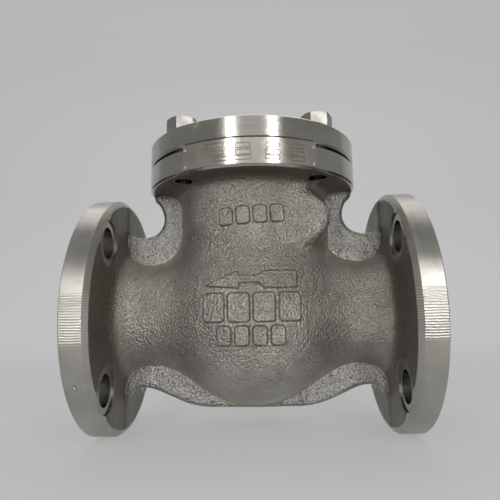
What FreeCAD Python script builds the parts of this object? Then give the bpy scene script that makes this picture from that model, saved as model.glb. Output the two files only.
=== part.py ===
import FreeCAD, Part
import Sketcher
import math
import os

from FreeCAD import Placement, Rotation, Vector

# Swing check valve, 2 inch, class 150, raised-face flanges, bolted round cover.
# Every piece is drawn about the centre of the body: +X to the inlet, +Z to the cover, and the
# port axis along X. Its placement then moves the centre half the face to face length towards -X,
# so the model's origin is the middle of the inlet face. Millimetres.

SIZES = (
    # run with the two pipe flanges
    ("face_to_face", 203.2, "between the two raised faces"),
    ("flange_diameter", 152.4, "pipe flange"),
    ("flange_thickness", 16.8, "with the raised face"),
    ("raised_face_diameter", 92.1, "gasket face of a pipe flange"),
    ("raised_face_height", 1.6, "gasket face above the flange"),
    ("flange_chamfer", 2.6, "back edge of a pipe flange"),
    ("flange_front_edge", 0.6, "front edge of a pipe flange"),
    ("port_bore", 50.8, "inlet and outlet"),
    ("flange_bolt_edge", 15.875, "bolt holes from the flange's rim"),
    ("flange_bolt_hole", 19.0, "pipe flange bolts"),
    ("spot_face_diameter", 28.0, "nut seat behind a flange"),
    ("spot_face_depth", 0.8, "nut seat behind a flange"),
    ("nozzle_diameter", 66.0, "outside, between flange and bulb"),
    ("nozzle_fillet", 7.0, "nozzle to flange"),
    # bulb and neck
    ("bulb_diameter", 116.6, "round middle of the body, outside"),
    ("bulb_wall", 7.1, "cast wall of the bulb"),
    ("bulb_fillet", 14.0, "bulb to nozzle"),
    ("neck_wall", 7.75, "cast wall of the neck"),
    ("neck_bore", 79.5, "bored opening under the cover"),
    ("neck_floor", 36.0, "lowest point of the neck bore above the port axis"),
    ("neck_fillet_share", 9.0 / 21.0, "neck fillets, as a share of the ledge under the cover flange"),
    # cover flange of the body
    ("cover_flange_diameter", 137.0, "body flange and cover"),
    ("cover_flange_bottom", 80.05, "above the port axis"),
    ("cover_flange_thickness", 14.45, "body side"),
    ("cover_flange_edge", 1.0, "chamfer of the rims"),
    # flat rib in the middle plane
    ("rib_thickness", 12.0, "across the middle plane"),
    ("notch_edge", 59.5, "upper notch, side nearest the neck"),
    ("notch_bottom", 51.5, "upper notch above the port axis"),
    ("notch_round", 12.0, "corners of the upper notch"),
    ("notch_mouth_round", 6.5, "upper notch to the cover flange"),
    ("keel_root", 39.0, "lower rib at the flange, below the port axis"),
    ("keel_round", 14.0, "lower rib to the flange"),
    ("keel_reach", 35.5, "half length of the keel's flat bottom"),
    ("keel_depth", 60.8, "keel's flat bottom below the port axis"),
    ("keel_bend", 70.0, "keel's flat bottom to its slopes"),
    ("keel_foot", 62.0, "lower rib's end on the flange"),
    # hinge
    ("pin_offset", 32.5, "hinge pin from the middle, towards the inlet"),
    ("pin_height", 57.0, "hinge pin above the port axis"),
    ("pin_diameter", 8.0, "hinge pin"),
    ("pin_end_room", 0.5, "free space at each end of the hinge pin"),
    ("pin_end", 0.8, "chamfer of the pin's ends"),
    ("pin_seat_fit", 0.02, "pin in the body, radial"),
    ("boss_diameter", 31.0, "hinge bosses"),
    ("boss_front_reach", 6.9, "blind boss past the neck's side"),
    ("boss_rear_reach", 7.9, "open boss past the neck's side"),
    ("boss_end_wall", 7.0, "end of the blind boss"),
    ("boss_round", 6.0, "rounded rim of the blind boss"),
    ("boss_edge", 1.0, "chamfer of the open boss"),
    ("plug_thread", 14.0, "thread of the plug"),
    ("plug_thread_length", 8.0, "thread of the plug"),
    ("plug_fit", 0.1, "plug in the body, radial"),
    ("plug_hex", 19.0, "across flats"),
    ("plug_head", 7.0, "height of the plug's head"),
    ("plug_collar", 23.0, "round collar of the plug"),
    ("plug_collar_height", 2.5, "round collar of the plug"),
    ("plug_gasket_diameter", 19.5, "sealing ring"),
    ("plug_gasket_height", 1.5, "sealing ring"),
    # seat and disc
    ("seat_plane", 30.0, "sealing face of the seat ring from the middle"),
    ("seat_bore", 50.0, "seat ring"),
    ("seat_ring_wall", 5.0, "seat ring"),
    ("seat_ring_fit", 0.05, "seat ring in the bridge, radial"),
    ("seat_lip_height", 0.8, "ring's sealing lip"),
    ("seat_ring_length", 8.0, "seat ring"),
    ("seat_ring_proud", 1.5, "seat ring above the bridge"),
    ("seat_lip_width", 3.25, "ring's sealing lip"),
    ("seat_gap", 0.2, "closed disc from the seat ring"),
    ("disc_overlap", 5.0, "disc's rim past the seat's bore, radial"),
    ("disc_rim", 4.5, "thickness at the rim"),
    ("disc_thickness", 6.0, "thickness at the middle"),
    ("disc_boss", 26.0, "flat middle of the disc's back"),
    ("disc_land", 3.0, "flat of the disc's face inside the seat's bore, radial"),
    ("disc_recess_depth", 0.8, "shallow recess in the disc's face"),
    ("stud_diameter", 10.0, "stud of the disc"),
    ("stud_end", 2.8, "from the split pin to the end of the stud"),
    ("stud_chamfer", 1.0, "end of the stud"),
    ("eye_fit", 0.08, "stud in the arm's eye, radial"),
    ("stack_play", 0.3, "between the stacked pieces on the stud"),
    ("washer_diameter", 20.0, "disc washer"),
    ("washer_thickness", 1.6, "disc washer"),
    ("nut_hex", 16.0, "disc nut across flats"),
    ("nut_height", 5.5, "disc nut"),
    ("nut_fit", 0.05, "nut and washer on the stud, radial"),
    ("split_pin_diameter", 2.0, "split pin"),
    ("split_pin_fit", 0.05, "split pin in its hole, radial"),
    ("split_pin_gap", 0.5, "split pin from the nut"),
    ("split_pin_leg", 4.0, "each bent leg"),
    # arm
    ("arm_hub_diameter", 15.0, "hub round the pin"),
    ("arm_hub_width", 30.0, "hub along the pin"),
    ("arm_fit", 0.05, "hub on the pin, radial"),
    ("arm_width", 12.0, "arm along the pin"),
    ("eye_diameter", 26.0, "eye round the stud"),
    ("eye_thickness", 7.0, "eye along the stud"),
    ("arm_shoulder", 33.0, "height at which the arm bends to its hub"),
    ("arm_bend", 6.0, "rounding where the arm bends"),
    ("hub_room", 1.0, "free space round the hub in the body"),
    ("stop_reach", 14.0, "stop lug from the pin axis"),
    ("stop_thickness", 6.0, "stop lug"),
    ("stop_angle", 40.0, "stop lug from upright, closed"),
    # cover and its bolts
    ("cover_thickness", 13.5, "rim of the cover"),
    ("cover_pad_diameter", 62.0, "raised middle of the cover"),
    ("cover_pad_height", 4.0, "raised middle of the cover"),
    ("cover_pad_round", 2.0, "raised middle of the cover"),
    ("cover_spigot_length", 4.0, "spigot under the cover"),
    ("cover_spigot_fit", 0.25, "spigot in the neck bore, radial"),
    ("cover_gap", 1.6, "gap between body and cover, filled by the gasket"),
    ("gasket_room", 0.5, "cover gasket round the neck bore, radial"),
    ("gasket_width", 8.25, "cover gasket"),
    ("cover_bolt_edge", 10.5, "cover bolts from the rim"),
    ("cover_bolt_diameter", 10.0, "cover bolts"),
    ("cover_bolt_hole", 11.0, "through the cover"),
    ("cover_bolt_length", 26.0, "below the head"),
    ("cover_bolt_fit", 0.1, "bolt in its tapped hole, radial"),
    ("cover_bolt_hex", 17.0, "across flats"),
    ("cover_bolt_head", 8.8, "height of the head"),
    ("bolt_point", 1.0, "chamfer at the end of a cover bolt"),
    ("overrun", 1.0, "how far a cut reaches past what it cuts"),
    # plate
    ("plate_thickness", 0.6, "plate"),
    ("plate_fit", 0.05, "plate from the rim, radial"),
    ("plate_bottom", 81.1, "lower edge above the port axis"),
    ("plate_height", 14.8, "plate"),
    ("plate_middle_angle", 0.3, "plate's middle from the front"),
    ("plate_half_angle", 33.7, "half of the plate's sweep"),
    ("plate_pin_half_angle", 32.3, "pins from the plate's middle"),
    ("plate_pin_low", 82.8, "lower pins above the port axis"),
    ("plate_pin_high", 92.8, "upper pins above the port axis"),
    ("plate_pin_head", 2.0, "pin head diameter"),
    ("plate_pin_crown", 0.6, "pin head height"),
    ("plate_pin_flat", 1.0, "flat on the pin head, diameter"),
    ("plate_pin_side", 0.2, "straight side of the pin head"),
    ("plate_pin_shank", 1.2, "pin shank diameter"),
    ("plate_pin_depth", 3.5, "pin shank in the rim"),
    ("plate_pin_fit", 0.05, "pin in its hole, radial"),
)

TIMES_AROUND = 4
QUARTER_TURN = 90.0
HALF_TURN = 180.0
FULL_TURN = 360.0
FIRST_BOLT_ANGLE = 45.0
BOLT_TWIST_ANGLES = (11.0, 24.0, 17.0, 5.0)
LEG_SPREAD_ANGLE = 35.0
PAST_ROUND = 1.2
HEX_SIDES = 6
HEX_TURN = 60.0
HEX_HALF_TURN = 30.0
CROWN_ANGLE = 30.0
ARM_FRONT_ANGLE = 30.0
ARM_BACK_ANGLE = 15.0


class Size:
    """A size worked out from the sheet: the expression that gives it, and its value."""

    def __init__(self, text, value):
        self.text = text
        self.value = value

    def __add__(self, other):
        return combined(self, "+", other, self.value + value_of(other))

    def __radd__(self, other):
        return combined(other, "+", self, value_of(other) + self.value)

    def __sub__(self, other):
        return combined(self, "-", other, self.value - value_of(other))

    def __rsub__(self, other):
        return combined(other, "-", self, value_of(other) - self.value)

    def __mul__(self, other):
        return combined(self, "*", other, self.value * value_of(other))

    def __rmul__(self, other):
        return combined(other, "*", self, value_of(other) * self.value)

    def __truediv__(self, other):
        return combined(self, "/", other, self.value / value_of(other))

    def __neg__(self):
        return Size("(-1 * %s)" % self.text, -self.value)


def value_of(item):
    return item.value if isinstance(item, Size) else float(item)


def text_of(item):
    return item.text if isinstance(item, Size) else "(%r)" % float(item)


def combined(left, sign, right, value):
    return Size("(%s %s %s)" % (text_of(left), sign, text_of(right)), value)


def root(item):
    return Size("sqrt(%s)" % text_of(item), math.sqrt(value_of(item)))


def sine(degrees):
    return Size("sin(%s)" % text_of(degrees), math.sin(math.radians(value_of(degrees))))


def cosine(degrees):
    return Size("cos(%s)" % text_of(degrees), math.cos(math.radians(value_of(degrees))))


class Sheet:
    """The spreadsheet of driving dimensions, read by name."""

    def __init__(self, doc):
        self.values = {name: value for name, value, note in SIZES}
        self.cells = doc.addObject("Spreadsheet::Sheet", "Sizes")
        for row, (name, value, note) in enumerate(SIZES, 1):
            self.cells.set("A%d" % row, name)
            self.cells.set("B%d" % row, str(value))
            self.cells.set("C%d" % row, note)
            self.cells.setAlias("B%d" % row, name)
        doc.recompute()

    def __getattr__(self, name):
        return Size("Sizes.%s" % name, self.values[name])


def bind(item, name, size):
    """Tie one property of an object to the sheet."""
    item.setExpression(name, text_of(size))


def place(item, x=0, y=0, z=0, axis=None, turn=0):
    """Put a piece at its place about the body's centre, then move it to the model's frame."""
    if axis is not None:
        item.Placement = Placement(Vector(), Rotation(axis, value_of(turn)))
        bind(item, "Placement.Rotation.Angle", turn)
    bind(item, "Placement.Base.x", x - s.face_to_face / 2)
    bind(item, "Placement.Base.y", y)
    bind(item, "Placement.Base.z", z)


# Sketches

def sketch_on(body, role, name, lift=None, turn=None, shift=None):
    """A sketch on one of the body's origin planes, lifted along its normal and shifted along its
    x axis. With a turn, in degrees, the plane is first turned about its own upright axis."""
    plane = [item for item in body.Origin.OriginFeatures if item.Role == role][0]
    sketch = body.newObject("Sketcher::SketchObject", name)
    sketch.AttachmentSupport = [(plane, "")]
    sketch.MapMode = "FlatFace"
    if turn is not None:
        sketch.AttachmentOffset = Placement(Vector(), Rotation(Vector(0, 1, 0), value_of(turn)))
        bind(sketch, "AttachmentOffset.Rotation.Angle", turn)
        bind(sketch, "AttachmentOffset.Base.x", lift * sine(turn))
        bind(sketch, "AttachmentOffset.Base.z", lift * cosine(turn))
    elif lift is not None:
        bind(sketch, "AttachmentOffset.Base.z", lift)
    if shift is not None:
        bind(sketch, "AttachmentOffset.Base.x", shift)
    return sketch


def hold(sketch, kind, size, *targets):
    """A dimension of a sketch, tied to the sheet."""
    index = sketch.addConstraint(Sketcher.Constraint(kind, *targets, value_of(size)))
    if isinstance(size, Size):
        sketch.setExpression("Constraints[%d]" % index, size.text)


def hold_point(sketch, geometry, end, x, y):
    """Keep a point of a sketch at x, y."""
    hold(sketch, "DistanceX", x, -1, 1, geometry, end)
    hold(sketch, "DistanceY", y, -1, 1, geometry, end)


def circle(sketch, x, y, diameter):
    centre = Vector(value_of(x), value_of(y), 0)
    index = sketch.addGeometry(Part.Circle(centre, Vector(0, 0, 1), value_of(diameter) / 2))
    hold(sketch, "Diameter", diameter, index)
    hold_point(sketch, index, 3, x, y)


def outline(sketch, corners):
    """A closed outline of straight runs. A corner is x, y, or x, y and the radius that rounds it."""
    points = [Vector(value_of(corner[0]), value_of(corner[1]), 0) for corner in corners]
    radii = [value_of(corner[2]) if len(corner) > 2 else 0 for corner in corners]
    count = len(points)
    cuts = [rounding(points[i - 1], points[i], points[(i + 1) % count], radii[i]) for i in range(count)]
    lines = []
    for i in range(count):
        start = cuts[i][1]
        finish = cuts[(i + 1) % count][0]
        lines.append(sketch.addGeometry(Part.LineSegment(start, finish)))
    for i in range(count):
        before = lines[i - 1]
        after = lines[i]
        if radii[i] == 0:
            sketch.addConstraint(Sketcher.Constraint("Coincident", before, 2, after, 1))
            hold_point(sketch, after, 1, corners[i][0], corners[i][1])
            continue
        centre, left = cuts[i][2:]
        first, last = (cuts[i][0], cuts[i][1]) if left else (cuts[i][1], cuts[i][0])
        ring = Part.Circle(centre, Vector(0, 0, 1), radii[i])
        arc = sketch.addGeometry(Part.ArcOfCircle(ring, ring.parameter(first), ring.parameter(last)))
        near, far = (1, 2) if left else (2, 1)
        mark = sketch.addGeometry(Part.Point(points[i]), True)
        sketch.addConstraint([
            Sketcher.Constraint("Tangent", before, 2, arc, near),
            Sketcher.Constraint("Tangent", after, 1, arc, far),
            Sketcher.Constraint("PointOnObject", mark, 1, before),
            Sketcher.Constraint("PointOnObject", mark, 1, after)])
        hold(sketch, "Radius", corners[i][2], arc)
        hold_point(sketch, mark, 1, corners[i][0], corners[i][1])


def rounding(before, corner, after, radius):
    """Where the rounded corner starts and ends, its centre, and whether it turns left."""
    if radius == 0:
        return corner, corner
    back = (before - corner).normalize()
    ahead = (after - corner).normalize()
    half = back.getAngle(ahead) / 2
    reach = radius / math.tan(half)
    centre = corner + (back + ahead).normalize() * (radius / math.sin(half))
    return corner + back * reach, corner + ahead * reach, centre, (-back).cross(ahead).z > 0


def hexagon(sketch, x, y, flats):
    """A hexagon with two flats square to the sketch's upright axis."""
    reach = flats / (2 * cosine(HEX_HALF_TURN))
    turns = [HEX_TURN * i for i in range(HEX_SIDES)]
    outline(sketch, [(x + reach * cosine(turn), y + reach * sine(turn)) for turn in turns])


# Features

def new_body(label):
    body = doc.addObject("PartDesign::Body", label)
    body.Label = label
    return body


def finish(body, feature):
    """Make a feature the body's latest, and build it."""
    body.Tip = feature
    doc.recompute()
    if feature.Shape.isNull() or not feature.Shape.isValid():
        raise ValueError("%s of %s wasn't built" % (feature.Name, body.Label))
    return feature


def extrude(body, kind, name, sketch, length, middle=False, back=False):
    """A Pad or a Pocket of a sketch."""
    feature = body.newObject("PartDesign::%s" % kind, name)
    feature.Profile = sketch
    feature.SideType = "Symmetric" if middle else "One side"
    feature.Reversed = back
    bind(feature, "Length", length)
    sketch.Visibility = False
    return feature


def pad(body, name, sketch, length, middle=False, back=False):
    return finish(body, extrude(body, "Pad", name, sketch, length, middle, back))


def pocket(body, name, sketch, length, middle=False, back=False):
    """A cut against the sketch's normal, or along it with back set."""
    before = body.Tip.Shape.Volume
    feature = finish(body, extrude(body, "Pocket", name, sketch, length, middle, back))
    if not feature.Shape.Volume < before:
        raise ValueError("%s cuts nothing" % name)
    return feature


def turned(body, kind, name, sketch, axis):
    """A Revolution or a Groove of a sketch about one of its own axes."""
    before = body.Tip.Shape.Volume if body.Tip else 0
    feature = body.newObject("PartDesign::%s" % kind, name)
    feature.Profile = sketch
    feature.ReferenceAxis = (sketch, [axis])
    finish(body, feature)
    if kind == "Groove" and not feature.Shape.Volume < before:
        raise ValueError("%s cuts nothing" % name)
    return feature


def edges_where(shape, test):
    """The names of a shape's edges whose middle point passes a test."""
    names = []
    for number, edge in enumerate(shape.Edges, 1):
        middle = edge.valueAt((edge.FirstParameter + edge.LastParameter) / 2)
        if not edge.Degenerated and test(middle, edge):
            names.append("Edge%d" % number)
    return names


def rounded(body, name, radius, test):
    base = body.Tip
    feature = body.newObject("PartDesign::Fillet", name)
    feature.Base = (base, edges_where(base.Shape, test))
    bind(feature, "Radius", radius)
    return finish(body, feature)


def chamfered(body, name, size, test):
    base = body.Tip
    feature = body.newObject("PartDesign::Chamfer", name)
    feature.Base = (base, edges_where(base.Shape, test))
    bind(feature, "Size", size)
    return finish(body, feature)


def repeated(body, name, feature, role, count):
    """A feature repeated round one of the body's axes."""
    axis = [item for item in body.Origin.OriginFeatures if item.Role == role][0]
    pattern = body.newObject("PartDesign::PolarPattern", name)
    pattern.Originals = [feature]
    pattern.Axis = (axis, [""])
    pattern.Angle = FULL_TURN
    pattern.Occurrences = count
    return finish(body, pattern)


def close_to(value, size, tolerance=0.02):
    return abs(value - value_of(size)) < tolerance


# Body

def valve_body():
    body = new_body("valve_body")
    add_run(body)
    add_neck(body)
    add_rib(body)
    add_bosses(body)
    cut_inside(body)
    cut_hinge(body)
    cut_flange_holes(body)
    cut_cover_flange_holes(body)
    place(body)
    return body


def flange_back():
    return s.face_to_face / 2 - s.flange_thickness


def flange_bolt_reach():
    return s.flange_diameter / 2 - s.flange_bolt_edge


def cover_bolt_reach():
    return s.cover_flange_diameter / 2 - s.cover_bolt_edge


def neck_radius():
    return s.neck_bore / 2 + s.neck_wall


def neck_fillet():
    ledge = s.cover_flange_diameter / 2 - neck_radius()
    return ledge * s.neck_fillet_share


def neck_side():
    """The neck's side from the middle plane, where the hinge pin crosses it."""
    return root(neck_radius() * neck_radius() - s.pin_offset * s.pin_offset)


def boss_front():
    return neck_side() + s.boss_front_reach


def boss_rear():
    return neck_side() + s.boss_rear_reach


def pin_front():
    return boss_front() - s.boss_end_wall


def seat_ring_radius():
    return s.seat_bore / 2 + s.seat_ring_wall


def add_run(body):
    """The two pipe flanges, the nozzle between them and the round bulb."""
    end = s.face_to_face / 2
    face = end - s.raised_face_height
    back = flange_back()
    rim = s.flange_diameter / 2
    edge = s.flange_front_edge
    half = [
        (end, 0), (end, s.raised_face_diameter / 2), (face, s.raised_face_diameter / 2),
        (face, rim - edge), (face - edge, rim), (back + s.flange_chamfer, rim),
        (back, rim - s.flange_chamfer), (back, s.nozzle_diameter / 2)]
    sketch = sketch_on(body, "XZ_Plane", "RunSketch")
    outline(sketch, half + [(-x, radius) for x, radius in reversed(half)])
    turned(body, "Revolution", "Run", sketch, "H_Axis")
    bulb = body.newObject("PartDesign::AdditiveSphere", "Bulb")
    bind(bulb, "Radius", s.bulb_diameter / 2)
    finish(body, bulb)
    nozzle = s.nozzle_diameter / 2
    meeting = root(s.bulb_diameter * s.bulb_diameter - s.nozzle_diameter * s.nozzle_diameter) / 2

    def ring_at(point, x):
        return close_to(abs(point.x), x) and close_to(math.hypot(point.y, point.z), nozzle)

    rounded(body, "BulbFillet", s.bulb_fillet, lambda point, edge: ring_at(point, meeting))
    rounded(body, "NozzleFillet", s.nozzle_fillet, lambda point, edge: ring_at(point, back))


def add_neck(body):
    """The neck above the bulb, with the flange that carries the cover."""
    radius = neck_radius()
    rim = s.cover_flange_diameter / 2
    bottom = s.cover_flange_bottom
    top = cover_seat()
    edge = s.cover_flange_edge
    sketch = sketch_on(body, "XZ_Plane", "NeckSketch")
    outline(sketch, [
        (0, 0), (radius, 0), (radius, bottom), (rim - edge, bottom), (rim, bottom + edge),
        (rim, top - edge), (rim - edge, top), (0, top)])
    turned(body, "Revolution", "Neck", sketch, "V_Axis")

    def on_neck(point, edge):
        return close_to(math.hypot(point.x, point.y), radius) and point.z > radius.value / 2

    rounded(body, "NeckFillet", neck_fillet(), on_neck)


def cover_seat():
    return s.cover_flange_bottom + s.cover_flange_thickness


def add_rib(body):
    """The flat rib in the middle plane: two notched webs above, and a keel below."""
    back = flange_back()
    inside_flange = back + s.flange_chamfer / 2
    top = s.cover_flange_bottom
    inside_top = top + s.cover_flange_edge / 2
    mouth = s.notch_edge + PAST_ROUND * s.notch_mouth_round
    half = [
        (mouth, inside_top), (mouth, top), (s.notch_edge, top, s.notch_mouth_round),
        (s.notch_edge, s.notch_bottom, s.notch_round), (back, s.notch_bottom, s.notch_round),
        (back, s.notch_bottom + PAST_ROUND * s.notch_round),
        (inside_flange, s.notch_bottom + PAST_ROUND * s.notch_round),
        (inside_flange, -s.keel_foot), (back, -s.keel_foot),
        (back, -s.keel_root, s.keel_round), (s.keel_reach, -s.keel_depth, s.keel_bend)]
    sketch = sketch_on(body, "XZ_Plane", "RibSketch")
    outline(sketch, half + [(-corner[0],) + corner[1:] for corner in reversed(half)])
    pad(body, "Rib", sketch, s.rib_thickness, middle=True)


def add_bosses(body):
    """The hinge bosses on one axis: blind and rounded in front, open and faced behind."""
    radius = s.boss_diameter / 2
    sketch = sketch_on(body, "XY_Plane", "BossSketch", s.pin_height, shift=s.pin_offset)
    outline(sketch, [
        (0, -boss_front()), (radius, -boss_front(), s.boss_round), (radius, boss_rear() - s.boss_edge),
        (radius - s.boss_edge, boss_rear()), (0, boss_rear())])
    turned(body, "Revolution", "Bosses", sketch, "V_Axis")


def bridge_face():
    return s.seat_plane + s.seat_ring_proud


def cut_inside(body):
    """The chamber, the neck bore, the ports and the seat ring's recess."""
    chamber = s.bulb_diameter / 2 - s.bulb_wall
    sketch = sketch_on(body, "XZ_Plane", "ChamberSketch")
    chamber_outline(sketch, chamber, bridge_face())
    turned(body, "Groove", "Chamber", sketch, "H_Axis")
    rectangle_groove(body, "NeckBore", "V_Axis", s.neck_bore / 2, s.neck_floor, cover_seat() + s.overrun)
    sketch = sketch_on(body, "YZ_Plane", "PortSketch")
    circle(sketch, 0, 0, s.port_bore)
    pocket(body, "Port", sketch, s.face_to_face + 2 * s.overrun, middle=True)
    recess = seat_ring_radius() + s.seat_ring_fit
    deep = s.seat_plane + s.seat_ring_length
    rectangle_groove(body, "SeatRecess", "H_Axis", recess, bridge_face() - s.overrun, deep)


def rectangle_groove(body, name, axis, radius, start, end):
    """A round hole about one of the sketch's axes, from start to end along it."""
    corners = [(start, 0), (end, 0), (end, radius), (start, radius)]
    if axis == "V_Axis":
        corners = [(corner[1], corner[0]) for corner in corners]
    sketch = sketch_on(body, "XZ_Plane", name + "Sketch")
    outline(sketch, corners)
    return turned(body, "Groove", name, sketch, axis)


def chamber_outline(sketch, radius, flat):
    """Half of a ball that is cut off flat on the inlet side."""
    height = root(radius * radius - flat * flat)
    far = Vector(-radius.value, 0, 0)
    low = Vector(flat.value, 0, 0)
    high = Vector(flat.value, height.value, 0)
    ring = Part.Circle(Vector(), Vector(0, 0, 1), radius.value)
    base = sketch.addGeometry(Part.LineSegment(far, low))
    side = sketch.addGeometry(Part.LineSegment(low, high))
    arc = sketch.addGeometry(Part.ArcOfCircle(ring, ring.parameter(high), math.pi))
    sketch.addConstraint([
        Sketcher.Constraint("Coincident", base, 2, side, 1),
        Sketcher.Constraint("Coincident", side, 2, arc, 1),
        Sketcher.Constraint("Coincident", arc, 2, base, 1),
        Sketcher.Constraint("Coincident", arc, 3, -1, 1),
        Sketcher.Constraint("PointOnObject", base, 1, -1),
        Sketcher.Constraint("PointOnObject", base, 2, -1),
        Sketcher.Constraint("Vertical", side)])
    hold(sketch, "Radius", radius, arc)
    hold(sketch, "DistanceX", flat, -1, 1, side, 1)


def cut_hinge(body):
    """Room for the arm's hub, the pin's blind hole from behind, and the plug's thread."""
    sketch = sketch_on(body, "XZ_Plane", "HubRoomSketch")
    circle(sketch, s.pin_offset, s.pin_height, s.arm_hub_diameter + 2 * s.hub_room)
    pocket(body, "HubRoom", sketch, s.arm_hub_width + 2 * s.hub_room, middle=True)
    front = pin_front() + s.pin_end_room
    sketch = sketch_on(body, "XZ_Plane", "PinHoleSketch", front)
    circle(sketch, s.pin_offset, s.pin_height, s.pin_diameter + 2 * s.pin_seat_fit)
    pocket(body, "PinHole", sketch, front + boss_rear())
    start = boss_rear() - s.plug_thread_length - s.pin_end_room
    sketch = sketch_on(body, "XZ_Plane", "PlugHoleSketch", -start)
    circle(sketch, s.pin_offset, s.pin_height, s.plug_thread + 2 * s.plug_fit)
    pocket(body, "PlugHole", sketch, boss_rear() - start)


def cut_flange_holes(body):
    """The bolt holes of both pipe flanges, with a nut seat behind each."""
    y = flange_bolt_reach() * cosine(FIRST_BOLT_ANGLE)
    z = flange_bolt_reach() * sine(FIRST_BOLT_ANGLE)
    end = s.face_to_face / 2
    back = flange_back()
    for name, side in (("Inlet", 1), ("Outlet", -1)):
        sketch = sketch_on(body, "YZ_Plane", name + "HoleSketch", end * side)
        circle(sketch, y, z, s.flange_bolt_hole)
        hole = pocket(body, name + "Hole", sketch, s.flange_thickness, back=side < 0)
        repeated(body, name + "Holes", hole, "X_Axis", TIMES_AROUND)
        sketch = sketch_on(body, "YZ_Plane", name + "SeatSketch", (back + s.spot_face_depth) * side)
        circle(sketch, y, z, s.spot_face_diameter)
        seat = pocket(body, name + "Seat", sketch, s.nozzle_fillet, back=side < 0)
        repeated(body, name + "Seats", seat, "X_Axis", TIMES_AROUND)


def cut_cover_flange_holes(body):
    """The tapped holes for the cover bolts, and the small holes for the plate's pins."""
    reach = cover_bolt_reach()
    sketch = sketch_on(body, "XY_Plane", "TappedHoleSketch", cover_seat())
    circle(sketch, reach * cosine(FIRST_BOLT_ANGLE), reach * sine(FIRST_BOLT_ANGLE),
           s.cover_bolt_diameter + 2 * s.cover_bolt_fit)
    hole = pocket(body, "TappedHole", sketch, s.cover_flange_thickness + neck_fillet() / 2)
    repeated(body, "TappedHoles", hole, "Z_Axis", TIMES_AROUND)
    cut_plate_pin_holes(body, s.cover_flange_diameter / 2 - s.plate_pin_depth)


def plate_pins():
    """The turn from the front and the height of each of the plate's pins."""
    left = s.plate_middle_angle - s.plate_pin_half_angle
    right = s.plate_middle_angle + s.plate_pin_half_angle
    return [(turn, height) for turn in (left, right) for height in (s.plate_pin_low, s.plate_pin_high)]


def cut_plate_pin_holes(body, start):
    """Small radial holes through the rim at the front, from a distance to the neck's axis."""
    for number, (turn, height) in enumerate(plate_pins(), 1):
        sketch = sketch_on(body, "XZ_Plane", "PlatePinSketch%d" % number, start, turn)
        circle(sketch, 0, height, s.plate_pin_shank + 2 * s.plate_pin_fit)
        length = s.plate_pin_depth + s.plate_fit + s.plate_thickness + s.overrun
        pocket(body, "PlatePinHole%d" % number, sketch, length, back=True)


# Seat, cover and gasket

def seat_ring():
    body = new_body("seat_ring")
    outer = seat_ring_radius()
    bore = s.seat_bore / 2
    lip = bore + s.seat_lip_width
    step = s.seat_plane + s.seat_lip_height
    end = s.seat_plane + s.seat_ring_length
    sketch = sketch_on(body, "XZ_Plane", "RingSketch")
    outline(sketch, [(s.seat_plane, bore), (s.seat_plane, lip), (step, lip), (step, outer),
                     (end, outer), (end, bore)])
    turned(body, "Revolution", "Ring", sketch, "H_Axis")
    place(body)
    return body


def cover_top():
    return cover_seat() + s.cover_gap + s.cover_thickness


def cover():
    body = new_body("cover")
    bottom = cover_seat() + s.cover_gap
    top = cover_top()
    rim = s.cover_flange_diameter / 2
    edge = s.cover_flange_edge
    spigot = s.neck_bore / 2 - s.cover_spigot_fit
    middle = s.cover_pad_diameter / 2
    peak = top + s.cover_pad_height
    sketch = sketch_on(body, "XZ_Plane", "CoverSketch")
    outline(sketch, [
        (0, bottom - s.cover_spigot_length), (spigot, bottom - s.cover_spigot_length),
        (spigot, bottom), (rim - edge, bottom), (rim, bottom + edge), (rim, top - edge),
        (rim - edge, top), (middle, top), (middle, peak, s.cover_pad_round), (0, peak)])
    turned(body, "Revolution", "Plate", sketch, "V_Axis")
    reach = cover_bolt_reach()
    sketch = sketch_on(body, "XY_Plane", "HoleSketch", top)
    circle(sketch, reach * cosine(FIRST_BOLT_ANGLE), reach * sine(FIRST_BOLT_ANGLE), s.cover_bolt_hole)
    hole = pocket(body, "Hole", sketch, s.cover_thickness)
    repeated(body, "Holes", hole, "Z_Axis", TIMES_AROUND)
    place(body)
    return body


def cover_gasket():
    body = new_body("cover_gasket")
    sketch = sketch_on(body, "XY_Plane", "RingSketch", cover_seat())
    bore = s.neck_bore + 2 * s.gasket_room
    circle(sketch, 0, 0, bore + 2 * s.gasket_width)
    circle(sketch, 0, 0, bore)
    pad(body, "Ring", sketch, s.cover_gap)
    place(body)
    return body


def crown(body, name, plane, axis, flats, top, side):
    """Turn the corners of a hexagon down to a cone at its free end."""
    reach = flats / (2 * cosine(HEX_HALF_TURN)) + s.overrun
    start = flats / 2
    drop = (reach - start) * sine(CROWN_ANGLE) / cosine(CROWN_ANGLE)
    sketch = sketch_on(body, plane, name)
    corners = [(start, top), (reach, top), (reach, top - drop * side)]
    if axis == "H_Axis":
        corners = [(corner[1], corner[0]) for corner in corners]
    outline(sketch, corners)
    return turned(body, "Groove", name + "Cone", sketch, axis)


def cover_bolt(number):
    """A hexagon bolt, drawn upright with the seat of its head at its own origin."""
    body = new_body("cover_bolt_%d" % number)
    sketch = sketch_on(body, "XY_Plane", "HeadSketch")
    hexagon(sketch, 0, 0, s.cover_bolt_hex)
    pad(body, "Head", sketch, s.cover_bolt_head)
    crown(body, "Crown", "XZ_Plane", "V_Axis", s.cover_bolt_hex, s.cover_bolt_head, 1)
    sketch = sketch_on(body, "XY_Plane", "ShankSketch")
    circle(sketch, 0, 0, s.cover_bolt_diameter)
    pad(body, "Shank", sketch, s.cover_bolt_length, back=True)
    chamfered(body, "Point", s.bolt_point, lambda point, edge: close_to(point.z, -s.cover_bolt_length))
    reach = cover_bolt_reach()
    angle = FIRST_BOLT_ANGLE + QUARTER_TURN * (number - 1)
    place(body, reach * cosine(angle), reach * sine(angle), cover_top(), Vector(0, 0, 1),
          BOLT_TWIST_ANGLES[number - 1])
    return body


# Hinge

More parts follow.
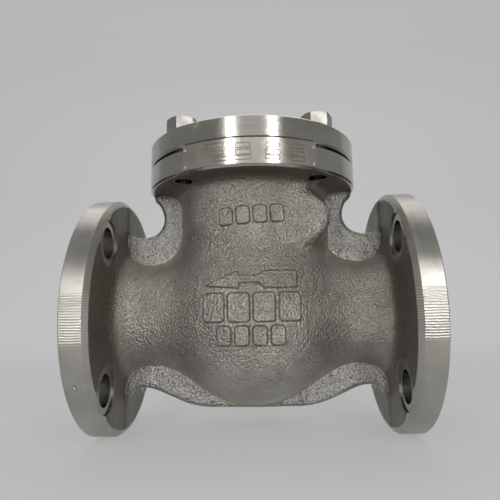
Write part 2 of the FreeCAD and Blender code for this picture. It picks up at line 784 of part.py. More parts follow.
def hinge_pin():
    body = new_body("hinge_pin")
    sketch = sketch_on(body, "XZ_Plane", "PinSketch", pin_front())
    circle(sketch, s.pin_offset, s.pin_height, s.pin_diameter)
    pad(body, "Pin", sketch, pin_length(), back=True)
    chamfered(body, "Ends", s.pin_end, lambda point, edge: edge.isClosed())
    place(body)
    return body


def pin_length():
    return pin_front() + boss_rear() - s.plug_thread_length - 2 * s.pin_end_room


def pin_plug():
    """Threaded plug with a round collar and a hexagon head, behind the open boss."""
    body = new_body("pin_plug")
    collar = boss_rear() + s.plug_gasket_height
    head = collar + s.plug_collar_height
    sketch = sketch_on(body, "XZ_Plane", "CollarSketch", -collar)
    circle(sketch, s.pin_offset, s.pin_height, s.plug_collar)
    pad(body, "Collar", sketch, s.plug_collar_height, back=True)
    sketch = sketch_on(body, "XZ_Plane", "ThreadSketch", -collar)
    circle(sketch, s.pin_offset, s.pin_height, s.plug_thread)
    pad(body, "Thread", sketch, s.plug_thread_length + s.plug_gasket_height)
    sketch = sketch_on(body, "XZ_Plane", "HeadSketch", -head)
    hexagon(sketch, s.pin_offset, s.pin_height, s.plug_hex)
    pad(body, "Head", sketch, s.plug_head, back=True)
    place(body)
    return body


def plug_gasket():
    body = new_body("plug_gasket")
    sketch = sketch_on(body, "XZ_Plane", "RingSketch", -boss_rear())
    circle(sketch, s.pin_offset, s.pin_height, s.plug_gasket_diameter)
    circle(sketch, s.pin_offset, s.pin_height, s.plug_thread + 2 * s.plug_fit)
    pad(body, "Ring", sketch, s.plug_gasket_height, back=True)
    place(body)
    return body


# Disc and arm: the stack on the stud runs from the seat towards -X

def disc_face():
    return s.seat_plane - s.seat_gap


def disc_back():
    return disc_face() - s.disc_thickness


def eye_front():
    return disc_back() - s.stack_play


def eye_back():
    return eye_front() - s.eye_thickness


def washer_back():
    return eye_back() - s.stack_play - s.washer_thickness


def nut_back():
    return washer_back() - s.nut_height


def split_pin_hole():
    return s.split_pin_diameter + 2 * s.split_pin_fit


def split_pin_place():
    return nut_back() - s.split_pin_gap - split_pin_hole() / 2


def hinge_arm():
    """Swing arm: a hub round the pin, a stop lug above it, and an eye round the disc's stud."""
    body = new_body("hinge_arm")
    hub = s.arm_hub_diameter / 2
    sketch = sketch_on(body, "XZ_Plane", "HubSketch")
    circle(sketch, s.pin_offset, s.pin_height, s.arm_hub_diameter)
    pad(body, "Hub", sketch, s.arm_hub_width, middle=True)
    front = (hub * cosine(ARM_FRONT_ANGLE), hub * sine(ARM_FRONT_ANGLE))
    rear = (hub * cosine(ARM_BACK_ANGLE), hub * sine(ARM_BACK_ANGLE))
    sketch = sketch_on(body, "XZ_Plane", "ArmSketch")
    outline(sketch, [
        (eye_front(), 0), (eye_front(), s.arm_shoulder, s.arm_bend),
        (s.pin_offset + front[0], s.pin_height - front[1]), (s.pin_offset, s.pin_height),
        (s.pin_offset - rear[0], s.pin_height + rear[1]),
        (eye_back(), s.arm_shoulder + s.eye_thickness / 2, s.arm_bend), (eye_back(), 0)])
    pad(body, "Arm", sketch, s.arm_width, middle=True)
    across = (s.stop_thickness / 2 * cosine(s.stop_angle), s.stop_thickness / 2 * sine(s.stop_angle))
    out = (-s.stop_reach * sine(s.stop_angle), s.stop_reach * cosine(s.stop_angle))
    sketch = sketch_on(body, "XZ_Plane", "StopSketch")
    outline(sketch, [
        (s.pin_offset - across[0], s.pin_height - across[1]),
        (s.pin_offset + across[0], s.pin_height + across[1]),
        (s.pin_offset + across[0] + out[0], s.pin_height + across[1] + out[1]),
        (s.pin_offset - across[0] + out[0], s.pin_height - across[1] + out[1])])
    pad(body, "Stop", sketch, s.arm_width, middle=True)
    sketch = sketch_on(body, "YZ_Plane", "EyeSketch", eye_back())
    circle(sketch, 0, 0, s.eye_diameter)
    pad(body, "Eye", sketch, s.eye_thickness)
    sketch = sketch_on(body, "XZ_Plane", "HubHoleSketch")
    circle(sketch, s.pin_offset, s.pin_height, s.pin_diameter + 2 * s.arm_fit)
    pocket(body, "HubHole", sketch, s.arm_hub_width + 2 * s.overrun, middle=True)
    sketch = sketch_on(body, "YZ_Plane", "EyeHoleSketch", eye_back() - s.overrun)
    circle(sketch, 0, 0, s.stud_diameter + 2 * s.eye_fit)
    pocket(body, "EyeHole", sketch, s.eye_thickness + 2 * s.overrun, back=True)
    place(body)
    return body


def disc():
    """The closing disc with its stud, turned as one piece."""
    body = new_body("disc")
    rim = s.seat_bore / 2 + s.disc_overlap
    stud = s.stud_diameter / 2
    end = split_pin_place() - s.stud_end
    recess = disc_face() - s.disc_recess_depth
    land = s.seat_bore / 2 - s.disc_land
    sketch = sketch_on(body, "XZ_Plane", "DiscSketch")
    outline(sketch, [
        (recess, 0), (recess, land), (disc_face(), land), (disc_face(), rim),
        (disc_face() - s.disc_rim, rim), (disc_back(), s.disc_boss / 2),
        (disc_back(), stud), (end + s.stud_chamfer, stud), (end, stud - s.stud_chamfer), (end, 0)])
    turned(body, "Revolution", "Disc", sketch, "H_Axis")
    sketch = sketch_on(body, "XZ_Plane", "PinHoleSketch")
    circle(sketch, split_pin_place(), 0, split_pin_hole())
    pocket(body, "PinHole", sketch, s.stud_diameter + 2 * s.overrun, middle=True)
    place(body)
    return body


def disc_washer():
    body = new_body("disc_washer")
    sketch = sketch_on(body, "YZ_Plane", "RingSketch", washer_back())
    circle(sketch, 0, 0, s.washer_diameter)
    circle(sketch, 0, 0, s.stud_diameter + 2 * s.nut_fit)
    pad(body, "Ring", sketch, s.washer_thickness)
    place(body)
    return body


def disc_nut():
    body = new_body("disc_nut")
    sketch = sketch_on(body, "YZ_Plane", "NutSketch", nut_back())
    hexagon(sketch, 0, 0, s.nut_hex)
    circle(sketch, 0, 0, s.stud_diameter + 2 * s.nut_fit)
    pad(body, "Nut", sketch, s.nut_height)
    crown(body, "Crown", "XZ_Plane", "H_Axis", s.nut_hex, nut_back(), -1)
    place(body)
    return body


def disc_split_pin():
    """Split pin through the stud behind the nut, with an eye and two spread legs."""
    wire = s.split_pin_diameter / 2
    side = s.stud_diameter / 2 + s.split_pin_diameter
    rod = doc.addObject("Part::Cylinder", "SplitRod")
    bind(rod, "Radius", wire)
    bind(rod, "Height", 2 * side)
    rod.Placement = Placement(Vector(), Rotation(Vector(1, 0, 0), -QUARTER_TURN))
    bind(rod, "Placement.Base.y", -side)
    eye = doc.addObject("Part::Torus", "SplitEye")
    eye.Placement = Placement(Vector(), Rotation(Vector(0, 1, 0), QUARTER_TURN))
    bind(eye, "Radius1", s.split_pin_diameter)
    bind(eye, "Radius2", wire)
    bind(eye, "Placement.Base.y", -side - s.split_pin_diameter)
    knee = doc.addObject("Part::Sphere", "SplitKnee")
    bind(knee, "Radius", wire)
    bind(knee, "Placement.Base.y", side)
    pieces = [rod, eye, knee]
    for name, turn in (("SplitLegUp", -LEG_SPREAD_ANGLE), ("SplitLegDown", LEG_SPREAD_ANGLE - HALF_TURN)):
        leg = doc.addObject("Part::Cylinder", name)
        bind(leg, "Radius", wire)
        bind(leg, "Height", s.split_pin_leg)
        leg.Placement = Placement(Vector(), Rotation(Vector(1, 0, 0), turn))
        bind(leg, "Placement.Base.y", side)
        pieces.append(leg)
    pin = doc.addObject("Part::MultiFuse", "disc_split_pin")
    pin.Label = "disc_split_pin"
    pin.Shapes = pieces
    doc.recompute()
    place(pin, split_pin_place())
    return pin


# Plate

def nameplate():
    """Thin strip bent round the rim at the front, over the gap, with a hole at each corner."""
    body = new_body("nameplate")
    inner = s.cover_flange_diameter / 2 + s.plate_fit
    outer = inner + s.plate_thickness
    sketch = sketch_on(body, "XY_Plane", "StripSketch", s.plate_bottom)
    strip_outline(sketch, inner, outer, s.plate_middle_angle - s.plate_half_angle,
                  s.plate_middle_angle + s.plate_half_angle)
    pad(body, "Strip", sketch, s.plate_height)
    cut_plate_pin_holes(body, inner - s.overrun)
    place(body)
    return body


def strip_outline(sketch, inner, outer, left, right):
    """A stretch of a ring about the origin, between two turns from the front."""
    arcs = []
    for radius in (inner, outer):
        ring = Part.Circle(Vector(), Vector(0, 0, 1), radius.value)
        ends = [Vector(radius.value * sine(turn).value, -radius.value * cosine(turn).value, 0)
                for turn in (left, right)]
        arc = sketch.addGeometry(Part.ArcOfCircle(ring, ring.parameter(ends[0]), ring.parameter(ends[1])))
        sketch.addConstraint(Sketcher.Constraint("Coincident", arc, 3, -1, 1))
        hold(sketch, "Radius", radius, arc)
        hold(sketch, "DistanceX", radius * sine(left), -1, 1, arc, 1)
        hold(sketch, "DistanceX", radius * sine(right), -1, 1, arc, 2)
        arcs.append((arc, ends))
    for end in (0, 1):
        line = sketch.addGeometry(Part.LineSegment(arcs[0][1][end], arcs[1][1][end]))
        sketch.addConstraint([
            Sketcher.Constraint("Coincident", line, 1, arcs[0][0], end + 1),
            Sketcher.Constraint("Coincident", line, 2, arcs[1][0], end + 1)])


def nameplate_pin(number):
    """A drive pin with a low round head, drawn pointing to the front and then turned."""
    body = new_body("nameplate_pin_%d" % number)
    turn, height = plate_pins()[number - 1]
    face = s.cover_flange_diameter / 2 + s.plate_fit + s.plate_thickness
    tip = s.cover_flange_diameter / 2 - s.plate_pin_depth
    shank = s.plate_pin_shank / 2
    head = s.plate_pin_head / 2
    sketch = sketch_on(body, "XY_Plane", "PinSketch", height)
    outline(sketch, [
        (0, -tip), (0, -face - s.plate_pin_crown), (s.plate_pin_flat / 2, -face - s.plate_pin_crown),
        (head, -face - s.plate_pin_side), (head, -face), (shank, -face), (shank, -tip)])
    turned(body, "Revolution", "Pin", sketch, "V_Axis")
    place(body, axis=Vector(0, 0, 1), turn=turn)
    return body


def check(pieces):
    """Stop when any object failed or a piece has no good solid."""
    for item in doc.Objects:
        if "Invalid" in item.State or "Error" in item.State:
            raise ValueError("%s failed: %s" % (item.Name, item.State))
    for piece in pieces:
        if piece.Shape.isNull() or not piece.Shape.isValid() or not piece.Shape.Solids:
            raise ValueError("%s has no valid solid" % piece.Label)


doc = FreeCAD.newDocument("swing_check_valve")
s = Sheet(doc)
pieces = [valve_body(), seat_ring(), cover(), cover_gasket()]
pieces += [cover_bolt(number + 1) for number in range(TIMES_AROUND)]
pieces += [hinge_pin(), pin_plug(), plug_gasket(), hinge_arm()]
pieces += [disc(), disc_washer(), disc_nut(), disc_split_pin(), nameplate()]
pieces += [nameplate_pin(number + 1) for number in range(len(plate_pins()))]
doc.recompute()
check(pieces)
os.makedirs("parts", exist_ok=True)
for piece in pieces:
    piece.Shape.exportStep(os.path.join("parts", piece.Label + ".step"))
    print("%-18s %10.1f mm3, %d solids" % (piece.Label, piece.Shape.Volume, len(piece.Shape.Solids)))
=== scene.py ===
"""Swing check valve: cast and machined surfaces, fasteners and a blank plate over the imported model."""

import math
from contextlib import contextmanager

import bmesh
import bpy
import numpy as np
from mathutils import Matrix, Vector, noise
from mathutils.bvhtree import BVHTree


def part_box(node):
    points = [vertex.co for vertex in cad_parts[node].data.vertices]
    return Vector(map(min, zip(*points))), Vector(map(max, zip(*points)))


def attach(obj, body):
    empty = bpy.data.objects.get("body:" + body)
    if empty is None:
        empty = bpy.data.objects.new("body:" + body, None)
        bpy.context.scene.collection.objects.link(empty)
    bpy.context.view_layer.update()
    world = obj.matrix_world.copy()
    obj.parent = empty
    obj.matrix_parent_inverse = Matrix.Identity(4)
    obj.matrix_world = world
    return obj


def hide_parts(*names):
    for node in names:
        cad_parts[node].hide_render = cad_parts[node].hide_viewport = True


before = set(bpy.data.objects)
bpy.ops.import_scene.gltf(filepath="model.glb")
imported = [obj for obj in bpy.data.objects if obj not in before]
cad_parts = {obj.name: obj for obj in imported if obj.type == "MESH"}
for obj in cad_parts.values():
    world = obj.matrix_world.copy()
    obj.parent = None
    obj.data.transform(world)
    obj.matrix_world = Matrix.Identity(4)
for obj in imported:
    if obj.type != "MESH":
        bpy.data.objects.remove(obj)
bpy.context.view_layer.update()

bl_info = {
    "name": "Swing check valve",
    "version": (1, 0, 0),
    "blender": (4, 5, 0),
    "location": "3D View > Sidebar > Check valve",
    "description": "Dresses a flanged swing check valve: body, flanges, bolts, blank plate and studio",
    "category": "Object",
}

MM = 0.001
BODY_LOW, BODY_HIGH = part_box("valve_body")
MIDDLE = (BODY_LOW.x + BODY_HIGH.x) / 2
FACE = (BODY_HIGH.x - BODY_LOW.x) / 2 / MM
FLOOR_LEVEL = BODY_LOW.z

# Sizes in millimetres, measured from the middle of the valve.
FLANGE_BACK = 84.8
FLANGE_EDGE = 73.25
RAISED_FACE = 46.05
BORE = 25.4
BOLT_REACH = 42.66
SPOT_FACE = 14.25
COVER_FLANGE_UNDERSIDE = 80.05
COVER_FLANGE_EDGE = 67.2
TAP_REACH = 41.01
TAP_MOUTH = 5.6
PIN_X = 32.5
PIN_Z = 57.0
BOSS_RADIUS = 15.5
FRONT_BOSS_END = 41.5
REAR_BOSS_END = 42.54
REAR_BOSS_EDGE = 14.7
NOZZLE_RADIUS = 33.0
NECK_RADIUS = 47.5
BULB_RADIUS = 58.3
RIB_HALF = 6.0
RIB_EDGE = 1.7
NOTCH_OUT = 59.9
NOTCH_LOW = 51.6
KEEL_LOW = 59.6
FLANGE_DISC = 78.0
UNDERSIDE_DISC = 70.0
SKIN_LIFT = 0.12
WALL_DEPTH = 0.06
PLATE_RADIUS = 69.15
MARK_STEP = 0.33

# Where the skin is trimmed, before its open edges are put on true circles.
RIM_TRIM = 72.4
SPOT_TRIM = 15.0
COVER_TRIM = 66.4
TAP_TRIM = 6.3
BOSS_TRIM = 14.5

# Bounds that tell the regions of the casting apart.
BY_FLANGE = 82.0
BY_COVER = 77.0
BY_SPOTS = 70.0
BY_TAPS = 74.0
CHAMBER_REACH = 54.0
NECK_REACH = 43.0
BORE_REACH = 30.0
NECK_START = 30.0

FLOW_ARROW = [(-26.6, 15.2), (-7.6, 23.4), (-6.9, 20.7), (3.5, 20.5), (7.1, 23.2), (25.6, 23.4), (25.4, 13.6),
              (7.4, 13.4), (3.9, 16.5), (-6.8, 16.5), (-6.9, 13.2)]

# The blank fields of the plate: left, right, low and high.
PLATE_FIELDS = (
    (-25.5, -13.9, 90.9, 93.6), (-7.1, 1.0, 90.2, 92.8), (9.8, 17.7, 90.2, 92.6), (24.6, 32.6, 90.6, 92.9),
    (-21.6, -13.9, 86.7, 89.3), (-6.9, 1.6, 86.3, 89.1), (9.7, 17.9, 86.3, 88.9), (24.4, 32.4, 86.3, 88.7),
    (-20.1, 1.6, 83.3, 85.6), (9.6, 17.7, 83.4, 85.7), (24.3, 32.5, 83.3, 85.6),
)


def at(x, y, z):
    """A point given in millimetres from the middle of the valve, in metres of the frame."""
    return Vector((MIDDLE + x * MM, y * MM, z * MM))


def in_mm(points):
    """Points of the frame in millimetres from the middle of the valve."""
    return (points - np.array((MIDDLE, 0, 0))) / MM


def in_metres(points):
    """Points in millimetres from the middle of the valve in metres of the frame."""
    return points * MM + np.array((MIDDLE, 0, 0))


def smooth_step(value, low, high):
    t = np.clip((value - low) / (high - low), 0, 1)
    return t * t * (3 - 2 * t)


# Nodes


class Value:
    """An output in a node tree. Sums, products and other calls on it add Math nodes."""

    def __init__(self, tree, socket):
        self.tree, self.socket = tree, socket

    def math(self, operation, *others, clamp=False):
        return build(self.tree, "ShaderNodeMath", dict(enumerate((self, *others))), operation=operation,
                     use_clamp=clamp)

    def __add__(self, other):
        return self.math("ADD", other)

    def __sub__(self, other):
        return self.math("SUBTRACT", other)

    def __mul__(self, other):
        return self.math("MULTIPLY", other)

    def __truediv__(self, other):
        return self.math("DIVIDE", other)


def feed(tree, socket, value):
    """Links a value to a socket, or sets the socket to a plain number, colour, place or name."""
    if isinstance(value, Value):
        tree.links.new(value.socket, socket)
    else:
        socket.default_value = value


def build(tree, kind, inputs, output=0, **settings):
    """Adds a node with its settings and inputs, and returns one of its outputs."""
    node = tree.nodes.new(kind)
    for key, setting in settings.items():
        setattr(node, key, setting)
    for key, value in inputs.items():
        feed(tree, node.inputs[key], value)
    return Value(tree, node.outputs[output])


def split(vector):
    """The x, y and z of a vector."""
    x = build(vector.tree, "ShaderNodeSeparateXYZ", {0: vector})
    return [Value(x.tree, output) for output in x.socket.node.outputs]


def joined(x, y, z):
    return build(x.tree, "ShaderNodeCombineXYZ", {0: x, 1: y, 2: z})


# Materials


def rgb(colour, shade=1.0):
    return (*(part * shade for part in colour), 1.0)


class Finish:
    """A node material under construction, with short calls for the nodes that every finish uses."""

    def __init__(self, name):
        self.material = bpy.data.materials.new(name)
        self.material.use_nodes = True
        self.tree = self.material.node_tree
        self.place = self.node("TexCoord", {}, "Object")

    def node(self, kind, inputs, output=0, **settings):
        return build(self.tree, "ShaderNode" + kind, inputs, output, **settings)

    def noise(self, scale, detail=3.0, roughness=0.5, vector=None):
        return self.node("TexNoise", {"Vector": vector or self.place, "Scale": scale, "Detail": detail,
                                      "Roughness": roughness}, "Fac", noise_type="FBM")

    def cells(self, scale, feature="F1"):
        return self.node("TexVoronoi", {"Vector": self.place, "Scale": scale}, "Distance", feature=feature)

    def stretched(self, x, y, z):
        return self.node("Mapping", {"Vector": self.place, "Scale": (x, y, z)}, "Vector")

    def spread(self, value, low, high, to_low=0.0, to_high=1.0):
        return self.node("MapRange", {"Value": value, "From Min": low, "From Max": high, "To Min": to_low,
                                      "To Max": to_high}, "Result", interpolation_type="SMOOTHSTEP")

    def uneven(self, scale, low, high):
        """A slow change between two values, for roughness."""
        return self.spread(self.noise(scale), 0.3, 0.7, low, high)

    def blend(self, factor, first, second):
        return self.node("Mix", {0: factor, 6: first, 7: second}, 2, data_type="RGBA")

    def near(self, point, low, high):
        """1 at a point of the frame, falling to 0 between two distances in metres."""
        away = self.node("VectorMath", {0: self.place, 1: point}, "Value", operation="DISTANCE")
        return self.spread(away, low, high, 1.0, 0.0)

    def attribute(self, name):
        return self.node("Attribute", {}, "Fac", attribute_name=name)

    def bump(self, height, distance, strength=1.0, below=None):
        inputs = {"Height": height, "Distance": distance, "Strength": strength}
        if below is not None:
            inputs["Normal"] = below
        return self.node("Bump", inputs, "Normal")

    def shader(self, inputs):
        for name, value in inputs.items():
            feed(self.tree, self.tree.nodes["Principled BSDF"].inputs[name], value)

    def drawn_round(self, axis, amount):
        """Tool lines round an axis, which stretch the reflections across themselves."""
        centre = at(PIN_X, 0, PIN_Z) if axis == "Y" else at(0, 0, 0)
        away = self.node("VectorMath", {0: self.place, 1: centre}, operation="SUBTRACT")
        around = self.node("VectorMath", {0: [float(axis == name) for name in "XYZ"], 1: away},
                           operation="CROSS_PRODUCT")
        turned = self.node("VectorTransform", {0: around}, vector_type="VECTOR", convert_from="OBJECT",
                           convert_to="WORLD")
        self.shader({"Anisotropic": amount, "Anisotropic Rotation": 0.25, "Tangent": turned})

    def done(self, colour, roughness, metallic, normal):
        self.shader({"Base Color": colour, "Roughness": roughness, "Metallic": metallic, "Normal": normal})
        return self.material


def cast_finish(look):
    """Pickled casting: orange-peel skin, small dark pores, a darker tone in the peel's hollows, brighter
    rough web faces, and painted shade on the flange backs, under the cover flange and down the sides of the
    raised marks.
    """
    f = Finish("cast_stainless_skin")
    dark, light, stain_and_shade = rgb(look.cast_dark), rgb(look.cast_light), rgb(look.cast_back)
    peel = f.noise(1000, 2.0, 0.55) - f.cells(860, "SMOOTH_F1") * 0.6
    grain = f.noise(2100, 2.0, 0.6)
    pits = f.cells(330)
    solid = f.spread(pits, 0.10, 0.24)
    web, back = f.attribute("web"), f.attribute("back")
    body = f.blend(f.spread(f.noise(32, 4.0, 0.6), 0.38, 0.66), dark, light)
    body = f.blend(f.spread(grain, 0.30, 0.75), body, light)
    # The hollows of the orange peel are turned darker.
    body = f.blend(f.spread(peel, 0.0, 0.2, 0.4, 0.0), body, stain_and_shade)
    # Painted shade: where the back attribute is set (flange backs, the cover flange's underside, the sides of
    # the raised marks) the skin turns to a much darker tone.
    body = f.blend(back, body, f.blend(f.spread(peel, -0.1, 0.4), stain_and_shade, rgb(look.cast_dark, 0.8)))
    body = f.blend(web, body, f.blend(f.spread(peel, -0.12, 0.3), dark, rgb(look.web_colour)))
    body = f.blend(f.spread(pits, 0.10, 0.24, 0.45, 0.0), body, stain_and_shade)
    rough = f.uneven(60, 0.29, 0.39) + web * 0.10 + back * 0.06
    height = peel + grain * 0.30 + f.noise(240, 2.0) * 0.55 + web * (f.noise(700, 2.0) + solid) + solid * 0.18
    return f.done(body, rough, 1.0, f.bump(height, 0.00125, look.cast_relief))


def inner_cast_finish(look):
    """The unmachined wall of the chamber and the arm: a little greyer than the outer skin."""
    f = Finish("cast_stainless_inner")
    body = f.blend(f.spread(f.noise(45, 4.0, 0.6), 0.35, 0.65), rgb(look.cast_dark), rgb(look.web_colour))
    height = f.noise(480, 3.0, 0.6) + f.noise(150, 2.0) * 1.2
    return f.done(body, f.uneven(90, 0.38, 0.52), 1.0, f.bump(height, 0.0006, 0.7))


def turned_finish(look, name, axis, marks=None, shade=1.0, drawn=0.85, matt=0.0):
    """Turned steel: fine tool lines round one axis, faint stains and small nicks."""
    f = Finish(name)
    lines, bands = (
        f.noise(1.0, 2.0, 0.6, f.stretched(*(across if axis == letter else along for letter in "XYZ")))
        for along, across in ((26.0, 5200.0), (9.0, 1500.0)))
    # A shade under 1 darkens the whole finish; the hole finishes use it as painted shade.
    light = rgb(look.turned_light, shade)
    colour = f.blend(f.spread(f.noise(38, 4.0, 0.62), 0.35, 0.68), rgb(look.turned_dark, shade), light)
    colour = f.blend(f.spread(bands, 0.3, 0.7, 0.0, 0.35), colour, light)
    nicks = f.spread(f.cells(120), 0.012, 0.03)
    normal = f.bump(lines * 0.55 + bands * 0.8 + nicks * 0.12, 0.00006, 0.7)
    if marks is not None:
        colour, normal = marks(f, look, colour, normal)
    f.drawn_round(axis, drawn)
    return f.done(colour, f.uneven(70, 0.19 + matt, 0.27 + matt), 1.0, normal)


def rim_marks(f, look, colour, normal):
    """Tool chatter across the front of both pipe flange rims, with a painted highlight along its ridges, and
    one punched dot.
    """
    x, y, z = split(f.place)
    # The band on the front of the rims that holds the chatter and its painted highlight.
    zone = f.spread(y, -0.066, -0.062, 1.0, 0.0) * f.spread(z, -0.0165, -0.013)
    zone = zone * f.spread(z, 0.0105, 0.013, 1.0, 0.0)
    ridge = ((z + f.noise(90, 2.0) * 0.0009) * (math.tau / (look.chatter_pitch * MM))).math("SINE")
    dot = f.near(at(-93.5, -66.5, -37.2), 0.0004, 0.0013)
    normal = f.bump(dot * -1.0, 0.0005, 1.0, f.bump(zone * ridge, 0.00009, 0.8, normal))
    # Painted highlight: the chatter ridges are lightened towards the pins' bright tone, only in that front
    # band.
    return f.blend(f.spread(ridge, 0.0, 0.9) * zone * 0.5, colour, rgb(look.bright_colour)), normal


def cover_marks(f, look, colour, normal):
    """A small scuff on the cover's rim, left of the middle."""
    scratch = f.spread(f.noise(1.0, 3.0, 0.7, f.stretched(700, 700, 2600)), 0.5, 0.62)
    scuff = f.near(at(-30.4, -61.4, 106.8), 0.0008, 0.0034) * scratch
    return f.blend(scuff * 0.8, colour, rgb(look.cast_back)), f.bump(scuff * -1.0, 0.0002, 0.8, normal)


def fastener_finish(look, name, colour, low, high):
    """Plain bright steel with light handling scratches."""
    f = Finish(name)
    colour = getattr(look, colour)
    shade = f.blend(f.spread(f.noise(120, 4.0, 0.6), 0.35, 0.68), rgb(colour, 0.78), rgb(colour))
    height = f.noise(1.0, 2.0, 0.6, f.stretched(2400, 260, 900)) * 0.5 + f.noise(900, 2.0)
    return f.done(shade, f.uneven(200, low, high), 1.0, f.bump(height, 0.00002, 0.5))


def plate_finish(look):
    """Thin stainless strip with fine rolling lines along it."""
    f = Finish("plate_stainless_rolled")
    smear = f.spread(f.noise(75, 4.0, 0.65), 0.36, 0.66)
    lines = f.noise(1.0, 3.0, 0.6, f.stretched(60, 60, 4200))
    f.drawn_round("Z", 0.8)
    return f.done(f.blend(smear, rgb(look.plate_colour, 0.84), rgb(look.plate_colour)),
                  f.uneven(150, 0.22, 0.30), 1.0, f.bump(lines + f.noise(260, 2.0), 0.00003, 0.5))


def etched_finish(look):
    """The dark etched lines of the plate's blank fields."""
    f = Finish("plate_etching")
    shade = f.blend(f.spread(f.noise(900), 0.35, 0.6), rgb(look.etch_colour), rgb(look.etch_colour, 2.2))
    return f.done(shade, f.uneven(500, 0.45, 0.6), 0.7, f.bump(f.noise(1500), 0.00004, 0.5))


def gasket_finish(look):
    """Graphite sheet seen at its cut edge: layered, dark and slightly shiny."""
    f = Finish("gasket_graphite")
    layers = f.noise(1.0, 3.0, 0.6, f.stretched(160, 160, 5200))
    shade = f.blend(f.spread(layers, 0.3, 0.7), rgb(look.gasket_colour), rgb(look.gasket_colour, 2.5))
    return f.done(shade, f.uneven(400, 0.5, 0.7), 0.0, f.bump(layers, 0.00015, 0.7))


def copper_finish(look):
    """The soft sealing ring under the pin plug, dulled by handling."""
    f = Finish("soft_metal_ring")
    shade = f.blend(f.spread(f.noise(300), 0.35, 0.65), rgb(look.seal_colour), rgb(look.seal_colour, 0.55))
    return f.done(shade, f.uneven(500, 0.32, 0.5), 1.0, f.bump(f.noise(1200), 0.00005, 0.5))


MAKERS = {
    "cast": (cast_finish,),
    "inner": (inner_cast_finish,),
    "rim": (turned_finish, "turned_flange_rims", "X", rim_marks, 1.0, 0.25, 0.12),
    "turned_z": (turned_finish, "turned_cover_flange", "Z"),
    "cover": (turned_finish, "turned_cover", "Z", cover_marks),
    "turned_x": (turned_finish, "turned_seat_and_disc", "X"),
    # The drilled holes, bores and pin hole, and the tapped holes, take darker copies of the turned steel:
    # painted shade inside the holes.
    "drilled": (turned_finish, "drilled_holes", "X", None, 0.6),
    "tapped": (turned_finish, "tapped_holes", "Z", None, 0.22),
    "faced": (turned_finish, "faced_boss_end", "Y", None, 0.8),
    "fastener": (fastener_finish, "fastener_steel_worn", "fastener_colour", 0.34, 0.46),
    "bright": (fastener_finish, "ground_steel", "bright_colour", 0.12, 0.22),
    "plate": (plate_finish,),
    "etching": (etched_finish,),
    "gasket": (gasket_finish,),
    "seal": (copper_finish,),
}
FINISHES = {}


def finish_named(name):
    """The finishes are made once, from the look's properties, and shared between the pieces."""
    if name not in FINISHES:
        maker, *values = MAKERS[name]
        FINISHES[name] = maker(bpy.context.scene.valve_look, *values)
    return FINISHES[name]


# Mesh tools


@contextmanager
def edited(mesh):
    """A mesh opened for editing, and written back at the end."""
    form = bmesh.new()
    form.from_mesh(mesh)
    yield form
    form.to_mesh(mesh)
    form.free()


def merged_copy(node, name):
    """A copy of a CAD node's mesh with its doubled points joined."""
    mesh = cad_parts[node].data.copy()
    mesh.name = name
    mesh.materials.clear()
    with edited(mesh) as form:
        bmesh.ops.remove_doubles(form, verts=form.verts, dist=1e-6)
    if mesh.has_custom_normals:
        mesh.attributes.remove(mesh.attributes["custom_normal"])
    return mesh


def put(name, mesh, *materials):
    """A new object at the origin of the frame, with its material slots."""
    piece = bpy.data.objects.new(name, mesh)
    bpy.context.scene.collection.objects.link(piece)
    for material in materials:
        mesh.materials.append(material)
    return piece


def frozen(piece):
    """Turns a piece and its modifiers into a plain mesh."""
    graph = bpy.context.evaluated_depsgraph_get()
    mesh = bpy.data.meshes.new_from_object(piece.evaluated_get(graph), depsgraph=graph)
    old = piece.data
    piece.modifiers.clear()
    piece.data = mesh
    bpy.data.meshes.remove(old)
    mesh.name = piece.name


def edges_kept(mesh, angle):
    """Smooth shading, with the edges over an angle kept sharp."""
    mesh.shade_smooth()
    mesh.set_sharp_from_angle(angle=math.radians(angle))


def evened(piece, angle=30.0):
    """Sharp edges kept, and flat faces shaded flat beside their fillets."""
    edges_kept(piece.data, angle)
    piece.modifiers.new("Flat faces", "WEIGHTED_NORMAL").keep_sharp = True
    frozen(piece)


def bevelled(piece, width):
    """Small worn bevels on the sharp edges of a piece."""
    bevel = piece.modifiers.new("Worn edges", "BEVEL")
    bevel.width = width * MM
    bevel.segments = 2
    bevel.limit_method = "ANGLE"
    bevel.angle_limit = math.radians(30)
    bevel.use_clamp_overlap = True
    frozen(piece)
    evened(piece, 40.0)


def read(items, name, width=3, kind=float):
    """One property of all points, edges or faces, with a row for each."""
    values = np.empty(len(items) * width, dtype=kind)
    items.foreach_get(name, values)
    return values.reshape(-1, width)


def store(mesh, name, values, kind="FLOAT"):
    """Writes an attribute with a number, or a vector, for each point."""
    field = "value" if kind == "FLOAT" else "vector"
    mesh.attributes.new(name, kind, "POINT").data.foreach_set(field, np.ravel(values))


def plain_mesh(name, points, faces=()):
    mesh = bpy.data.meshes.new(name)
    mesh.from_pydata(points, [], faces)
    mesh.update()
    return mesh


def mesh_of(name, points, faces):
    """A mesh of the points that the faces use, given in millimetres."""
    used, faces = np.unique(faces, return_inverse=True)
    return plain_mesh(name, in_metres(points[used]).tolist(), faces.reshape(-1, 4).tolist())


def neighbour_mean(values, ends):
    first, second = ends.T
    count = len(values)
    total = np.bincount(first, values[second], count) + np.bincount(second, values[first], count)
    return total / np.maximum(np.bincount(ends.ravel(), minlength=count), 1)


def from_pin(points):
    return np.hypot(points[:, 0] - PIN_X, points[:, 2] - PIN_Z)


def inner_walls(points):
    """True for points on the bores, the chamber, the neck bore and the pin's hole."""
    x, y, z = points.T
    bores = np.hypot(y, z) < BORE_REACH
    chamber = np.linalg.norm(points, axis=1) < CHAMBER_REACH
    neck = (np.hypot(x, y) < NECK_REACH) & (z > NECK_START)
    pin = (from_pin(points) < 14.2) & (y > -34.9) & (y < REAR_BOSS_END - 0.1)
    return bores | chamber | neck | pin


